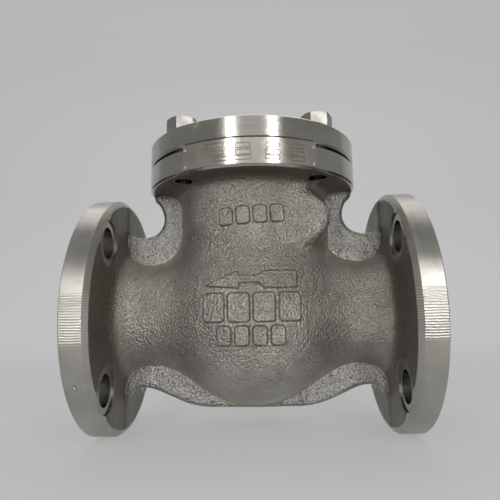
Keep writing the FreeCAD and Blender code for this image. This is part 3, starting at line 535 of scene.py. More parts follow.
def to_nearest_hole(points, reach, first, second):
    """Distance of points to the nearest of four holes in the plane of two axes."""
    return np.hypot(np.abs(points[:, first]) - reach, np.abs(points[:, second]) - reach)


def swell(points, amount, size):
    """Slow uneven swelling of a sand casting, one value for each point."""
    return np.array([noise.noise(Vector(p) / size) + 0.35 * noise.noise(Vector(p) / size * 3.1)
                     for p in points.tolist()]) * amount


# Cast body


def soft_union(first, second, reach):
    """The nearer of two forms, with their junction filled like a casting's fillet."""
    overlap = np.maximum(reach - np.abs(first - second), 0)
    return np.minimum(first, second) - overlap * overlap / (4 * reach)


def soft_cut(first, second, reach):
    """What two forms have in common, with the edge between them rounded."""
    return -soft_union(-first, -second, reach)


def rounded_edge(first, second, radius):
    """The common part of two perpendicular forms, its edge rounded to a radius."""
    a, b = first + radius, second + radius
    return np.hypot(np.maximum(a, 0), np.maximum(b, 0)) + np.minimum(np.maximum(a, b), 0) - radius


def flange_faces(x, y, z):
    """The backs of the pipe flanges, and the underside of the cover flange, as discs."""
    back = np.maximum(FLANGE_BACK - SKIN_LIFT - np.abs(x), np.hypot(y, z) - FLANGE_DISC)
    return back, np.maximum(COVER_FLANGE_UNDERSIDE - SKIN_LIFT - z, np.hypot(x, y) - UNDERSIDE_DISC)


def rib_outline(x, z):
    """The flat rib in the middle plane: notched webs above the axis and the keel below it."""
    out = np.abs(x)
    flange, under = flange_faces(x, 0.0, z)
    web = soft_union(out - NOTCH_OUT, z - NOTCH_LOW, 15.0)
    web = soft_union(soft_union(web, flange, 9.0), under, 19.0)
    slope = (out - FLANGE_BACK) * 0.4044 - (z + 39.0) * 0.9146
    keel = soft_union(soft_cut(-KEEL_LOW - z, slope, 5.0), flange, 24.0)
    return np.where(z > 0, web, keel)


def round_form(points):
    """Signed distance to the bulb, neck, nozzles and bosses, less than 0 in the metal."""
    x, y, z = points
    around = np.hypot(x, y)
    nozzle = np.hypot(y, z) - NOZZLE_RADIUS
    neck = np.maximum(around - NECK_RADIUS, -z)
    bulb = np.hypot(around, z) - BULB_RADIUS
    flange, under = flange_faces(x, y, z)
    boss = np.hypot(x - PIN_X, z - PIN_Z) - BOSS_RADIUS
    boss = np.where(y < 0, rounded_edge(boss, -FRONT_BOSS_END - y, 6.0),
                    rounded_edge(boss, y - REAR_BOSS_END, 0.5))
    body = np.minimum(soft_union(neck, nozzle, 22.0), soft_union(soft_union(bulb, nozzle, 15.0), neck, 8.0))
    body = soft_union(soft_union(soft_union(body, boss, 9.0), flange, 18.0), under, 12.0)
    tap = np.hypot(np.abs(x) - TAP_REACH, np.abs(y) - TAP_REACH)
    return np.minimum(soft_cut(body, -np.maximum(tap - 6.0, 75.0 - z), 2.0), under)


def cast_form(points):
    """Signed distance to the outside of the whole casting, less than 0 in the metal."""
    x, y, z = points
    rib = rounded_edge(rib_outline(x, z), np.abs(y) - RIB_HALF, RIB_EDGE)
    return soft_union(round_form(points), rib, 2.6)


def wrapped_form(form, low, high, step):
    """An even mesh of quads round a form: one point in each cell that the surface crosses."""
    lines = [np.arange(a, b + step, step) for a, b in zip(low, high)]
    value = form(np.meshgrid(*lines, indexing="ij"))
    inside = value < 0
    cells = tuple(n - 1 for n in value.shape)
    total, hits = np.zeros(cells + (3,)), np.zeros(cells)
    unit = np.eye(3, dtype=int)
    crossings = []
    for axis in range(3):
        first = tuple(slice(None, -1) if a == axis else slice(None) for a in range(3))
        second = tuple(slice(1, None) if a == axis else slice(None) for a in range(3))
        spot = np.argwhere(inside[first] != inside[second])
        near, far = value[first][tuple(spot.T)], value[second][tuple(spot.T)]
        place = spot.astype(float)
        place[:, axis] += near / (near - far)
        u, v = [a for a in range(3) if a != axis]
        for du, dv in ((0, 0), (1, 0), (0, 1), (1, 1)):
            cell = spot - unit[u] * du - unit[v] * dv
            good = np.all((cell >= 0) & (cell < cells), axis=1)
            np.add.at(total, tuple(cell[good].T), place[good])
            np.add.at(hits, tuple(cell[good].T), 1)
        crossings.append((spot, inside[first][tuple(spot.T)], u, v, axis))
    number = np.full(cells, -1)
    number[hits > 0] = np.arange(np.count_nonzero(hits))
    points = total[hits > 0] / hits[hits > 0][:, None] * step + np.array(low)
    quads = []
    for spot, metal_first, u, v, axis in crossings:
        good = np.all([(spot[:, a] > 0) & (spot[:, a] < cells[a]) for a in (u, v)], axis=0)
        corners = [number[tuple((spot[good] - unit[u] * du - unit[v] * dv).T)]
                   for du, dv in ((1, 1), (0, 1), (0, 0), (1, 0))]
        quad = np.stack(corners, axis=1)
        turned = metal_first[good] if axis != 1 else ~metal_first[good]
        quads.append(np.where(turned[:, None], quad, quad[:, ::-1]))
    return points, np.concatenate(quads)


def settled(points, form):
    """Moves points along the form's slope onto its surface."""
    for turn in range(3):
        value = form(points.T)
        slope = np.stack([(form((points + offset).T) - form((points - offset).T)) / 0.2
                          for offset in np.eye(3) * 0.1], axis=1)
        points = points - slope * (value / np.maximum((slope * slope).sum(axis=1), 0.25))[:, None]
    return points


def cast_skin(look):
    """The outside of the casting, trimmed where machining has cut it away."""
    points, quads = wrapped_form(cast_form, (-85.6, -74.2, -74.2), (85.6, 74.2, 80.6), look.grid / MM)
    points = settled(points, cast_form)
    centres = points[quads].mean(axis=1)
    x, y, z = centres.T
    reach, ledge, out = np.hypot(y, z), np.hypot(x, y), np.abs(x)
    cut = (out > BY_FLANGE + 0.5) & (reach > RIM_TRIM)
    cut |= (out > BY_SPOTS + 2) & (to_nearest_hole(centres, BOLT_REACH, 1, 2) < SPOT_TRIM)
    cut |= (z > BY_COVER) & ((ledge > COVER_TRIM) | (to_nearest_hole(centres, TAP_REACH, 0, 1) < TAP_TRIM))
    cut |= (y > REAR_BOSS_END - 0.94) & (from_pin(centres) < BOSS_TRIM)
    mesh = mesh_of("cast_skin", points, quads[~cut])
    points, normals = in_mm(read(mesh.vertices, "co")), read(mesh.vertex_normals, "vector")
    still = smooth_step(np.abs(points[:, 0]), 84.3, 80) * smooth_step(points[:, 2], 79.5, 75)
    still *= 1 - smooth_step(points[:, 1], 36, 39) * (from_pin(points) < 19)
    points += normals * (swell(points, look.swelling / MM, 19.0) * still)[:, None]
    mesh.vertices.foreach_set("co", in_metres(points).ravel())
    mesh.update()
    return put("cast_skin", mesh)


def on_circle(y, z, radius):
    return Vector((y, z)).normalized() * radius


def tidied_borders(mesh):
    """Puts the skin's open edges on true circles, and walls the holes down to the machined surface."""
    with edited(mesh) as form:
        rims = set()
        for corner in (corner for corner in form.verts if corner.is_boundary):
            x, y, z = (corner.co - at(0, 0, 0)) / MM
            back = math.copysign(FLANGE_BACK + WALL_DEPTH, x)
            hole = Vector((math.copysign(BOLT_REACH, y), math.copysign(BOLT_REACH, z)))
            tap = Vector((math.copysign(TAP_REACH, x), math.copysign(TAP_REACH, y)))
            from_hole, from_tap = Vector((y, z)) - hole, Vector((x, y)) - tap
            if abs(x) > BY_SPOTS and from_hole.length < SPOT_TRIM + 2.5:
                spot = hole + on_circle(*from_hole, SPOT_FACE)
                if spot.length > FLANGE_EDGE:
                    x, spot = back, on_circle(*spot, FLANGE_EDGE)
                corner.co = at(x, *spot)
                rims.add(corner)
            elif abs(x) > BY_FLANGE:
                corner.co = at(back, *on_circle(y, z, FLANGE_EDGE))
            elif z > BY_TAPS and from_tap.length < TAP_TRIM + 1.7:
                corner.co = at(*(tap + on_circle(*from_tap, TAP_MOUTH)), z)
                rims.add(corner)
            elif z > BY_COVER - 1:
                corner.co = at(*on_circle(x, y, COVER_FLANGE_EDGE), COVER_FLANGE_UNDERSIDE + WALL_DEPTH)
            elif y > 38:
                away = on_circle(x - PIN_X, z - PIN_Z, REAR_BOSS_EDGE)
                corner.co = at(PIN_X + away.x, REAR_BOSS_END - 0.04, PIN_Z + away.y)
        edges = [edge for edge in form.edges if edge.is_boundary and rims.issuperset(edge.verts)]
        walls = bmesh.ops.extrude_edge_only(form, edges=edges)["geom"]
        for corner in (item for item in walls if isinstance(item, bmesh.types.BMVert)):
            x, y, z = (corner.co - at(0, 0, 0)) / MM
            if abs(x) > BY_SPOTS:
                x = math.copysign(FLANGE_BACK + WALL_DEPTH, x)
            else:
                z = COVER_FLANGE_UNDERSIDE + WALL_DEPTH
            corner.co = at(x, y, z)


def painted_zones(mesh):
    """Stores where the rib's rough flat faces are, and where the flange backs and the underside of the cover
    flange take painted shade, for the cast finish.
    """
    points, normals = in_mm(read(mesh.vertices, "co")), read(mesh.vertex_normals, "vector")
    ends = read(mesh.edges, "vertices", 2, np.int64)
    flat = (np.abs(np.abs(points[:, 1]) - RIB_HALF + 0.1) < 1.3) & (np.abs(normals[:, 1]) > 0.9)
    web = flat & (round_form(points.T) > 0.8)
    # The flange backs and the cover flange's underside, darkened in the cast finish as painted shade.
    back = (np.abs(points[:, 0]) > BY_FLANGE) | (points[:, 2] > BY_COVER)
    for name, zone, turns in (("web", web, 3), ("back", back, 8)):
        zone = zone.astype(float)
        for turn in range(turns):
            zone = 0.5 * zone + 0.5 * neighbour_mean(zone, ends)
        store(mesh, name, zone)


def machined_core():
    """The CAD surfaces of the flanges, the bores and the chamber, with a finish for each kind."""
    mesh = merged_copy("valve_body", "machined_core")
    centres = in_mm(read(mesh.polygons, "center"))
    x, y, z = centres.T
    raised = (np.abs(x) > FACE - 0.02) & (np.hypot(y, z) < RAISED_FACE + 0.2)
    boss_face = (y > REAR_BOSS_END - 0.05) & (from_pin(centres) < 15.6)
    keep = (np.abs(x) > FLANGE_BACK - 0.01) | (z > COVER_FLANGE_UNDERSIDE - 0.01) | inner_walls(centres)
    lost = ~keep | raised | boss_face
    with edited(mesh) as form:
        faces = [face for face, gone in zip(form.faces, lost.tolist()) if gone]
        bmesh.ops.delete(form, geom=faces, context="FACES")
    piece = put("machined_core", mesh, *map(finish_named, ("rim", "turned_z", "inner", "drilled", "tapped")))
    centres, normals = in_mm(read(mesh.polygons, "center")), read(mesh.polygons, "normal")
    x, y, z = centres.T
    chamber = (np.linalg.norm(centres, axis=1) < CHAMBER_REACH - 2) & (np.hypot(y, z) > BORE + 0.3)
    neck = (np.hypot(x, y) < NECK_REACH - 3.1) & (z > NECK_START) & (z < 90)
    holes = (np.abs(x) > FLANGE_BACK - 0.01) & (to_nearest_hole(centres, BOLT_REACH, 1, 2) < SPOT_FACE)
    holes &= (np.abs(x) < 90) | (np.abs(normals[:, 0]) < 0.5)
    taps = (z > BY_COVER + 2) & (to_nearest_hole(centres, TAP_REACH, 0, 1) < TAP_MOUTH - 0.2)
    kind = np.where(z > COVER_FLANGE_UNDERSIDE - 0.01, 1, 0)
    kind[chamber | neck] = 2
    kind[holes | (np.hypot(y, z) < BORE_REACH + 2) | (from_pin(centres) < 14)] = 3
    kind[taps] = 4
    mesh.polygons.foreach_set("material_index", kind.astype(np.int32))
    evened(piece)
    return piece


def boss_ring():
    """The faced end of the rear hinge boss, round its plug."""
    steps = 72
    points = [at(PIN_X + radius * math.cos(turn), REAR_BOSS_END - depth, PIN_Z + radius * math.sin(turn))
              for radius, depth in ((8.2, 0.0), (14.3, 0.0), (REAR_BOSS_EDGE + 0.05, 0.35))
              for turn in np.linspace(0, math.tau, steps, endpoint=False)]
    faces = []
    for first in (0, steps):
        for i in range(steps):
            a, b = first + i, first + (i + 1) % steps
            faces.append((a, b, b + steps, a + steps))
    piece = put("rear_boss_face", plain_mesh("rear_boss_face", points, faces), finish_named("faced"))
    edges_kept(piece.data, 20)
    return piece


# Raised marks on the casting


def polygon_distance(px, pz, corners):
    """Signed distance from points to a closed outline, less than 0 inside it."""
    nearest = np.full(px.shape, 1e9)
    inside = np.zeros(px.shape, dtype=bool)
    for (ax, az), (bx, bz) in zip(corners, corners[1:] + corners[:1]):
        ex, ez = bx - ax, bz - az
        t = np.clip(((px - ax) * ex + (pz - az) * ez) / (ex * ex + ez * ez), 0, 1)
        nearest = np.minimum(nearest, np.hypot(px - ax - t * ex, pz - az - t * ez))
        crosses = (az > pz) != (bz > pz)
        inside ^= crosses & (px < ax + (pz - az) / (ez if ez else 1e-9) * ex)
    return np.where(inside, -nearest, nearest)


def tile_distance(px, pz, centre, half, corner, tilt=0.0):
    """Signed distance to a rounded rectangle that may be tilted."""
    c, s = math.cos(tilt), math.sin(tilt)
    qx, qz = px - centre[0], pz - centre[1]
    return rounded_edge(np.abs(c * qx + s * qz) - half[0], np.abs(c * qz - s * qx) - half[1], corner)


def tile_row(px, pz, left, right, low, high, tilt=0.0):
    """Signed distance to a row of four equal blank tiles."""
    count, gap = 4, 1.9
    width = (right - left - gap * (count - 1)) / count
    middle = ((left + right) / 2, (low + high) / 2)
    tiles = []
    for i in range(count):
        along = left + width / 2 + i * (width + gap) - middle[0]
        centre = (middle[0] + along * math.cos(tilt), middle[1] + along * math.sin(tilt))
        tiles.append(tile_distance(px, pz, centre, (width / 2, (high - low) / 2), 2.2, tilt))
    return np.min(tiles, axis=0)


def raised(distance, height, dish):
    """A raised form with steep soft sides and a slightly dished middle."""
    return height * smooth_step(-distance, -0.35, 0.45) - dish * smooth_step(-distance, 0.7, 2.2)


def front_marks(px, pz, height):
    """Height over the bulb: the arrow and two rows of blank tiles on a low pad."""
    pad = tile_distance(px, pz, (-0.8, 4.0), (32.4, 22.8), 9.0)
    marks = (raised(polygon_distance(px, pz, FLOW_ARROW), height, 0.12),
             raised(tile_row(px, pz, -27.2, 27.0, -4.9, 11.0), height, 0.15),
             raised(tile_row(px, pz, -19.4, 18.2, -17.6, -6.9), height, 0.15))
    return -0.35 + 0.62 * smooth_step(-pad, -0.4, 0.9) + np.max(marks, axis=0)


def neck_marks(px, pz, height):
    """Height over the neck: one row of blank tiles, a little tilted."""
    row = tile_row(px, pz, -18.6, 19.6, 51.9, 62.6, math.radians(3.5))
    return -0.35 + 0.35 * smooth_step(-row, -0.7, -0.3) + raised(row, height, 0.15)


def blurred(values, reach):
    """Evens a grid of values over a few cells each way."""
    edge = 3 * reach
    kernel = np.exp(-0.5 * (np.arange(-edge, edge + 1) / reach) ** 2)
    kernel /= kernel.sum()
    for axis in (0, 1):
        room = [(edge, edge) if a == axis else (0, 0) for a in (0, 1)]
        padded = np.pad(values, room, mode="reflect", reflect_type="odd")
        values = np.apply_along_axis(lambda line: np.convolve(line, kernel, "valid"), axis, padded)
    return values


def marked_patch(name, skin, left, right, low, high, height_of):
    """A fine patch that follows the skin, raised where the marks are."""
    wide, tall = int((right - left) / MARK_STEP) + 1, int((high - low) / MARK_STEP) + 1
    px, pz = np.meshgrid(np.linspace(left, right, wide), np.linspace(low, high, tall))
    tree = BVHTree.FromPolygons([v.co for v in skin.vertices], [tuple(p.vertices) for p in skin.polygons])
    py = np.empty(px.shape)
    for cell in np.ndindex(*px.shape):
        hit = tree.ray_cast(at(px[cell], -90, pz[cell]), Vector((0, 1, 0)))[0]
        if hit is None:
            raise RuntimeError("The patch " + name + " reaches past the skin")
        py[cell] = hit.y / MM
    py = blurred(py, 3)
    slope_z, slope_x = np.gradient(py, pz[:, 0], px[0, :])
    normal = np.stack((slope_x, -np.ones_like(py), slope_z), axis=-1)
    normal /= np.linalg.norm(normal, axis=-1, keepdims=True)
    height = height_of(px, pz, bpy.context.scene.valve_look.mark_height)
    points = np.stack((px, py, pz), axis=-1) + normal * height[..., None]
    index = np.arange(wide * tall).reshape(tall, wide)
    shown = height > -0.3
    cells = shown[:-1, :-1] | shown[1:, :-1] | shown[:-1, 1:] | shown[1:, 1:]
    quads = np.stack((index[:-1, :-1], index[:-1, 1:], index[1:, 1:], index[1:, :-1]), axis=-1)[cells]
    mesh = mesh_of(name, points.reshape(-1, 3), quads)
    mesh.shade_smooth()
    # Painted shade down the steep sides of the arrow and the tiles, stored in the back attribute that also
    # darkens the flange backs.
    painted_edge_shade = smooth_step(blurred(np.hypot(*np.gradient(height, MARK_STEP)), 1), 0.25, 0.9)
    store(mesh, "web", np.zeros(len(mesh.vertices)))
    store(mesh, "back", painted_edge_shade.ravel()[np.unique(quads)])
    return put(name, mesh, finish_named("cast"))


# Geometry Nodes


def new_tree(name, **labels):
    """A tree of Geometry Nodes with named inputs of each kind, and calls that fill and end it."""
    tree = bpy.data.node_groups.new(name, "GeometryNodeTree")
    for kind, names in {"Geometry": ["Geometry"], "Material": ["Finish"], **labels}.items():
        for label in names:
            tree.interface.new_socket(label, in_out="INPUT", socket_type="NodeSocket" + kind)
    tree.interface.new_socket("Geometry", in_out="OUTPUT", socket_type="NodeSocketGeometry")
    source = tree.nodes.new("NodeGroupInput")
    given = {socket.name: Value(tree, socket) for socket in source.outputs if socket.name}

    def node(kind, inputs, output=0, **settings):
        return build(tree, "GeometryNode" + kind, inputs, output, **settings)

    def end(geometry):
        real = node("RealizeInstances", {"Geometry": geometry})
        dressed = node("SetMaterial", {"Geometry": real, "Material": given["Finish"]})
        feed(tree, tree.nodes.new("NodeGroupOutput").inputs["Geometry"], dressed)
        return tree

    return given, node, end


def grown(name, mesh, tree, values):
    """Runs a tree on a mesh and keeps the result as a plain mesh."""
    piece = put(name, mesh)
    modifier = piece.modifiers.new(tree.name, "NODES")
    modifier.node_group = tree
    for item in tree.interface.items_tree:
        if item.item_type == "SOCKET" and item.in_out == "INPUT" and item.name in values:
            modifier[item.identifier] = values[item.name]
    piece.update_tag()
    frozen(piece)
    if not len(piece.data.polygons):
        raise RuntimeError("The tree " + tree.name + " made nothing")
    return piece


def groove_tree():
    """Concentric gasket grooves turned into a flat ring that faces along X."""
    given, node, end = new_tree("gasket_grooves", Int=["Steps round"], Float=[
        "Inner radius", "Outer radius", "Groove pitch", "Groove depth", "Face position", "Side"])
    inner, outer, pitch = given["Inner radius"], given["Outer radius"], given["Groove pitch"]
    width = outer - inner
    grid = node("MeshGrid", {"Size X": width, "Size Y": math.tau, "Vertices Y": given["Steps round"],
                             "Vertices X": (width / pitch).math("ROUND") * 2.0 + 1.0}, "Mesh")
    across, turn, flat = split(node("InputPosition", {}))
    radius = across + (outer + inner) * 0.5
    deep = ((across + width * 0.5) / pitch).math("PINGPONG", 0.5) * (given["Groove depth"] * 2.0)
    spot = joined(given["Face position"] - deep * given["Side"], radius * turn.math("COSINE"),
                  radius * turn.math("SINE"))
    bent = node("SetPosition", {"Geometry": grid, "Position": spot})
    return end(node("MergeByDistance", {"Geometry": bent, "Distance": 1e-6}))


def ring_of_copies_tree():
    """Copies of one piece, each standing at its point and turned by its own angle."""
    given, node, end = new_tree("pieces_round_the_cover", Object=["Piece"])
    part = node("ObjectInfo", {"Object": given["Piece"]}, "Geometry")
    turn = node("InputNamedAttribute", {"Name": "turn"}, data_type="FLOAT_VECTOR")
    return end(node("InstanceOnPoints", {"Points": given["Geometry"], "Instance": part, "Rotation": turn}))


def field_tree():
    """Thin line frames of given sizes, wrapped round the plate."""
    given, node, end = new_tree("blank_fields", Float=[
        "Plate radius", "Line width", "Line height", "Middle x"])
    square, profile = (node("CurvePrimitiveQuadrilateral", {"Width": side, "Height": side})
                       for side in (1.0, given["Line width"]))
    size = node("InputNamedAttribute", {"Name": "size"}, data_type="FLOAT_VECTOR")
    copies = node("InstanceOnPoints", {"Points": given["Geometry"], "Instance": square, "Scale": size})
    fine = node("ResampleCurve", {"Curve": node("RealizeInstances", {"Geometry": copies}), "Count": 40})
    tube = node("CurveToMesh", {"Curve": fine, "Profile Curve": profile, "Fill Caps": True})
    along, high, out = split(node("InputPosition", {}))
    angle = along / given["Plate radius"]
    radius = given["Plate radius"] + out / given["Line width"] * given["Line height"]
    spot = joined(radius * angle.math("SINE") + given["Middle x"], radius * angle.math("COSINE") * -1.0, high)
    return end(node("SetPosition", {"Geometry": tube, "Position": spot}))


def outward(piece, direction):
    """Turns the faces of a flat piece outwards if the tree left them inwards."""
    mean = sum((p.normal * p.area for p in piece.data.polygons), Vector())
    if mean.dot(Vector(direction)) < 0:
        piece.data.flip_normals()


# What a user may change


def number(name, description, default, low=0.0, **more):
    return bpy.props.FloatProperty(name=name, description=description, default=default, min=low, precision=5,
                                   **more)


def colour(name, description, default):
    return bpy.props.FloatVectorProperty(name=name, description=description, default=default, subtype="COLOR",
                                         min=0.0, max=1.0)


class ValveLook(bpy.types.PropertyGroup):
    """Surface sizes and colours of the valve."""

    grid: number("Casting grid", "Cell size of the cast skin", 0.00115, 0.0008, unit="LENGTH")
    swelling: number("Swelling", "Slow unevenness of the sand casting", 0.00035, unit="LENGTH")
    cast_relief: number("Cast relief", "Strength of the orange-peel skin", 0.8, max=1.0, subtype="FACTOR")
    mark_height: number("Mark height", "Height of the arrow and the blank tiles, in millimetres", 1.05, 0.2)
    chatter_pitch: number("Chatter pitch", "Distance between the rims' tool marks, in millimetres", 1.4, 0.5)
    groove_pitch: number("Groove pitch", "Distance between gasket grooves", 0.0008, 0.0004, unit="LENGTH")
    groove_depth: number("Groove depth", "Depth of a gasket groove", 0.00012, unit="LENGTH")
    edge_wear: number("Edge wear", "Bevel on the fasteners, in millimetres", 0.3, 0.05)
    line_width: number("Line width", "Width of the lines on the plate", 0.0004, 0.0001, unit="LENGTH")
    cast_dark: colour("Cast, dark", "Darker tone of the casting", (0.265, 0.247, 0.217))
    cast_light: colour("Cast, light", "Lighter tone of the casting", (0.48, 0.457, 0.413))
    # Also the tone of the painted shade on the flange backs, under the cover flange and on the sides of the
    # raised marks.
    cast_back: colour("Cast, stained", "Tone of the flange backs", (0.165, 0.145, 0.12))
    web_colour: colour("Rib faces", "Tone of the rib's rough flat faces", (0.56, 0.545, 0.51))
    turned_dark: colour("Turned, dark", "Darker tone of turned steel", (0.39, 0.375, 0.335))
    turned_light: colour("Turned, light", "Lighter tone of turned steel", (0.49, 0.475, 0.43))
    fastener_colour: colour("Bolts", "Tone of the bolts and nut", (0.43, 0.415, 0.375))
    # Also the colour of the painted highlight on the rims' chatter ridges.
    bright_colour: colour("Pins", "Tone of the ground pins", (0.68, 0.67, 0.64))
    plate_colour: colour("Plate", "Tone of the thin plate", (0.57, 0.54, 0.475))
    etch_colour: colour("Etching", "Tone of the etched lines", (0.10, 0.09, 0.08))
    gasket_colour: colour("Gasket", "Tone of the graphite gasket", (0.018, 0.018, 0.018))
    seal_colour: colour("Sealing ring", "Tone of the soft sealing ring", (0.50, 0.30, 0.19))


class StudioLook(bpy.types.PropertyGroup):
    """Floor, lamps and camera of the studio."""

    floor_colour: colour("Floor", "Colour of the floor and its sweep", (0.27, 0.273, 0.27))
    wall_colour: colour("Wall", "Colour of the sweep's wall, which gets less light", (0.48, 0.484, 0.48))
    floor_glow: number("Floor glow", "Brightness added to the floor for camera, metal and glass", 0.315)
    wall_glow: number("Wall glow", "Brightness added to the wall for camera, metal and glass", 0.33)
    sky_colour: colour("Surroundings", "Colour of the light from all round", (0.30, 0.30, 0.30))
    sky_strength: number("Surround strength", "Strength of the light from all round", 1.0)
    strip_power: number("Strip lamps", "Power of the two upright lamps beside the camera", 1.05, unit="POWER")
    glow_power: number("Front lamp", "Power of the wide soft lamp behind the camera", 1.15, unit="POWER")
    top_power: number("Top lamp", "Power of the large lamp overhead", 4.5, unit="POWER")


# Operators


class VALVE_OT_cast_body(bpy.types.Operator):
    """Makes the casting: a rounded rough skin over the machined flanges, bores and chamber"""

    bl_idname = "valve.cast_body"
    bl_label = "Cast body"

    def execute(self, context):
        skin = cast_skin(context.scene.valve_look)
        tidied_borders(skin.data)
        painted_zones(skin.data)
        skin.data.shade_smooth()
        skin.data.materials.append(finish_named("cast"))
        for piece in (skin, machined_core(), boss_ring()):
            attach(piece, "housing")
            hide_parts("valve_body")
        return {"FINISHED"}


class VALVE_OT_body_marks(bpy.types.Operator):
    """Raises the flow arrow and the blank tiles on the front of the casting"""

    bl_idname = "valve.body_marks"
    bl_label = "Body marks"

    def execute(self, context):
        skin = bpy.data.objects["cast_skin"].data
        for piece in (marked_patch("flow_arrow_pad", skin, -35.5, 34.0, -21.0, 29.0, front_marks),
                      marked_patch("neck_tiles", skin, -21.0, 22.0, 48.5, 66.0, neck_marks)):
            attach(piece, "housing")
        return {"FINISHED"}


class VALVE_OT_pipe_faces(bpy.types.Operator):
    """Turns the gasket grooves into both raised pipe faces"""

    bl_idname = "valve.pipe_faces"
    bl_label = "Pipe faces"

    def execute(self, context):
        look = context.scene.valve_look
        tree = groove_tree()
        for name, side in (("inlet_face_grooves", 1.0), ("outlet_face_grooves", -1.0)):
            face = grown(name, bpy.data.meshes.new(name), tree, {
                "Inner radius": BORE * MM, "Outer radius": RAISED_FACE * MM,
                "Groove pitch": look.groove_pitch, "Groove depth": look.groove_depth,
                "Face position": MIDDLE + side * FACE * MM, "Side": side, "Steps round": 161,
                "Finish": finish_named("turned_x")})
            outward(face, (side, 0, 0))
            edges_kept(face.data, 20)
            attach(face, "housing")
        return {"FINISHED"}


class VALVE_OT_cover(bpy.types.Operator):
    """Gives the cover and its gasket their finishes"""

    bl_idname = "valve.cover"
    bl_label = "Cover and gasket"

    def execute(self, context):
        dress("cover", "cover")
        dress("cover_gasket", "gasket")
        return {"FINISHED"}


class VALVE_OT_cover_bolts(bpy.types.Operator):
    """Sets the four cover bolts, each turned as it came to rest when it was tightened"""

    bl_idname = "valve.cover_bolts"
    bl_label = "Cover bolts"

    def execute(self, context):
        look = context.scene.valve_look
        nodes = ["cover_bolt_%d" % number for number in (1, 2, 3, 4)]
        twists = (11.0, 24.0, 17.0, 5.0)
        boxes = [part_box(node) for node in nodes]
        places = [Vector(((low.x + high.x) / 2, (low.y + high.y) / 2, high.z)) for low, high in boxes]
        pattern = put("bolt_pattern", merged_copy(nodes[0], "bolt_pattern"))
        bevelled(pattern, look.edge_wear)
        seated = Vector((0, 0, 1e-5))
        upright = Matrix.Rotation(math.radians(-twists[0]), 4, "Z") @ Matrix.Translation(-places[0] - seated)
        pattern.data.transform(upright)
        bolts = copies_at("cover_bolts", pattern, places, twists, "fastener")
        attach(bolts, "housing")
        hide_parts(*nodes)
        return {"FINISHED"}


class VALVE_OT_nameplate(bpy.types.Operator):
    """Finishes the thin plate with blank line fields, and its four drive pins"""

    bl_idname = "valve.nameplate"
    bl_label = "Blank nameplate"

    def execute(self, context):
        look = context.scene.valve_look
        dress("nameplate", "plate")
        for number in (1, 2, 3, 4):
            dress("nameplate_pin_%d" % number, "bright")
        fields = plain_mesh("plate_fields", [
            ((left + right) / 2 * MM, (low + high) / 2 * MM, 0.0) for left, right, low, high in PLATE_FIELDS])
        store(fields, "size", [((right - left) * MM, (high - low) * MM, 1.0)
                               for left, right, low, high in PLATE_FIELDS], "FLOAT_VECTOR")
        piece = grown("plate_fields", fields, field_tree(), {
            "Plate radius": PLATE_RADIUS * MM, "Line width": look.line_width, "Line height": 0.00006,
            "Middle x": MIDDLE, "Finish": finish_named("etching")})
        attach(piece, "housing")
        return {"FINISHED"}


class VALVE_OT_swing_gear(bpy.types.Operator):
    """Finishes what moves inside: seat ring, hinge pin, arm, disc, nut and split pin, and the pin's plug"""

    bl_idname = "valve.swing_gear"
    bl_label = "Swing gear"

    def execute(self, context):
        look = context.scene.valve_look
        for node, finish in (("seat_ring", "turned_x"), ("hinge_pin", "bright"), ("plug_gasket", "seal"),
                             ("disc_split_pin", "bright")):
            dress(node, finish)
        for node, finish, body, slot, wear in (
                ("hinge_arm", "inner", "arm", "cast_stainless", 0.6),
                ("disc", "turned_x", "disc_stack", "machined_stainless", 0.3),
                ("disc_washer", "fastener", "disc_stack", "fastener_steel", 0.2),
                ("disc_nut", "fastener", "disc_stack", "fastener_steel", look.edge_wear),
                ("pin_plug", "fastener", "housing", "fastener_steel", look.edge_wear)):
            piece = put(node + "_worn", merged_copy(node, node + "_worn"), finish_named(finish))
            bevelled(piece, wear)
            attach(piece, body)
            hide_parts(node)
        return {"FINISHED"}


class VALVE_OT_studio(bpy.types.Operator):
    """Sets the pale floor with its sweep, the soft lamps and the camera"""

    bl_idname = "valve.studio"
    bl_label = "Studio"

    def execute(self, context):
        studio = context.scene.valve_studio
        studio_sweep(studio)
        world = bpy.data.worlds.new("studio_surroundings")
        context.scene.world = world
        world.use_nodes = True
        sky = world.node_tree.nodes["Background"]
        sky.inputs["Color"].default_value = rgb(studio.sky_colour)
        sky.inputs["Strength"].default_value = studio.sky_strength
        aim = at(0, 0, 10)
        for name, bearing, distance, wide, tall, power in (
                ("strip_left", -19.0, 0.62, 0.03, 0.50, studio.strip_power),
                ("strip_right", 23.0, 0.62, 0.03, 0.50, studio.strip_power),
                ("front_glow", 2.0, 0.85, 0.95, 0.62, studio.glow_power)):
            upright_lamp(name, bearing, distance, wide, tall, power, aim)
        area_lamp("top_lamp", at(0, 450, 1250), 1.5, 0.8, studio.top_power, at(0, 150, -70))
        photo_camera(context.scene)
        context.scene.view_settings.view_transform = "Standard"
        return {"FINISHED"}


def dress(node, finish):
    """Gives a CAD node its finish through its material slots."""
    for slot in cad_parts[node].material_slots:
        slot.material = finish_named(finish)


def copies_at(name, pattern, places, twists, finish):
    """Copies of a pattern at places, each with its own twist, made with Geometry Nodes."""
    points = plain_mesh(name, [tuple(place) for place in places])
    store(points, "turn", [(0.0, 0.0, math.radians(twist)) for twist in twists], "FLOAT_VECTOR")
    piece = grown(name, points, ring_of_copies_tree(), {"Piece": pattern, "Finish": finish_named(finish)})
    bpy.data.objects.remove(pattern)
    return piece


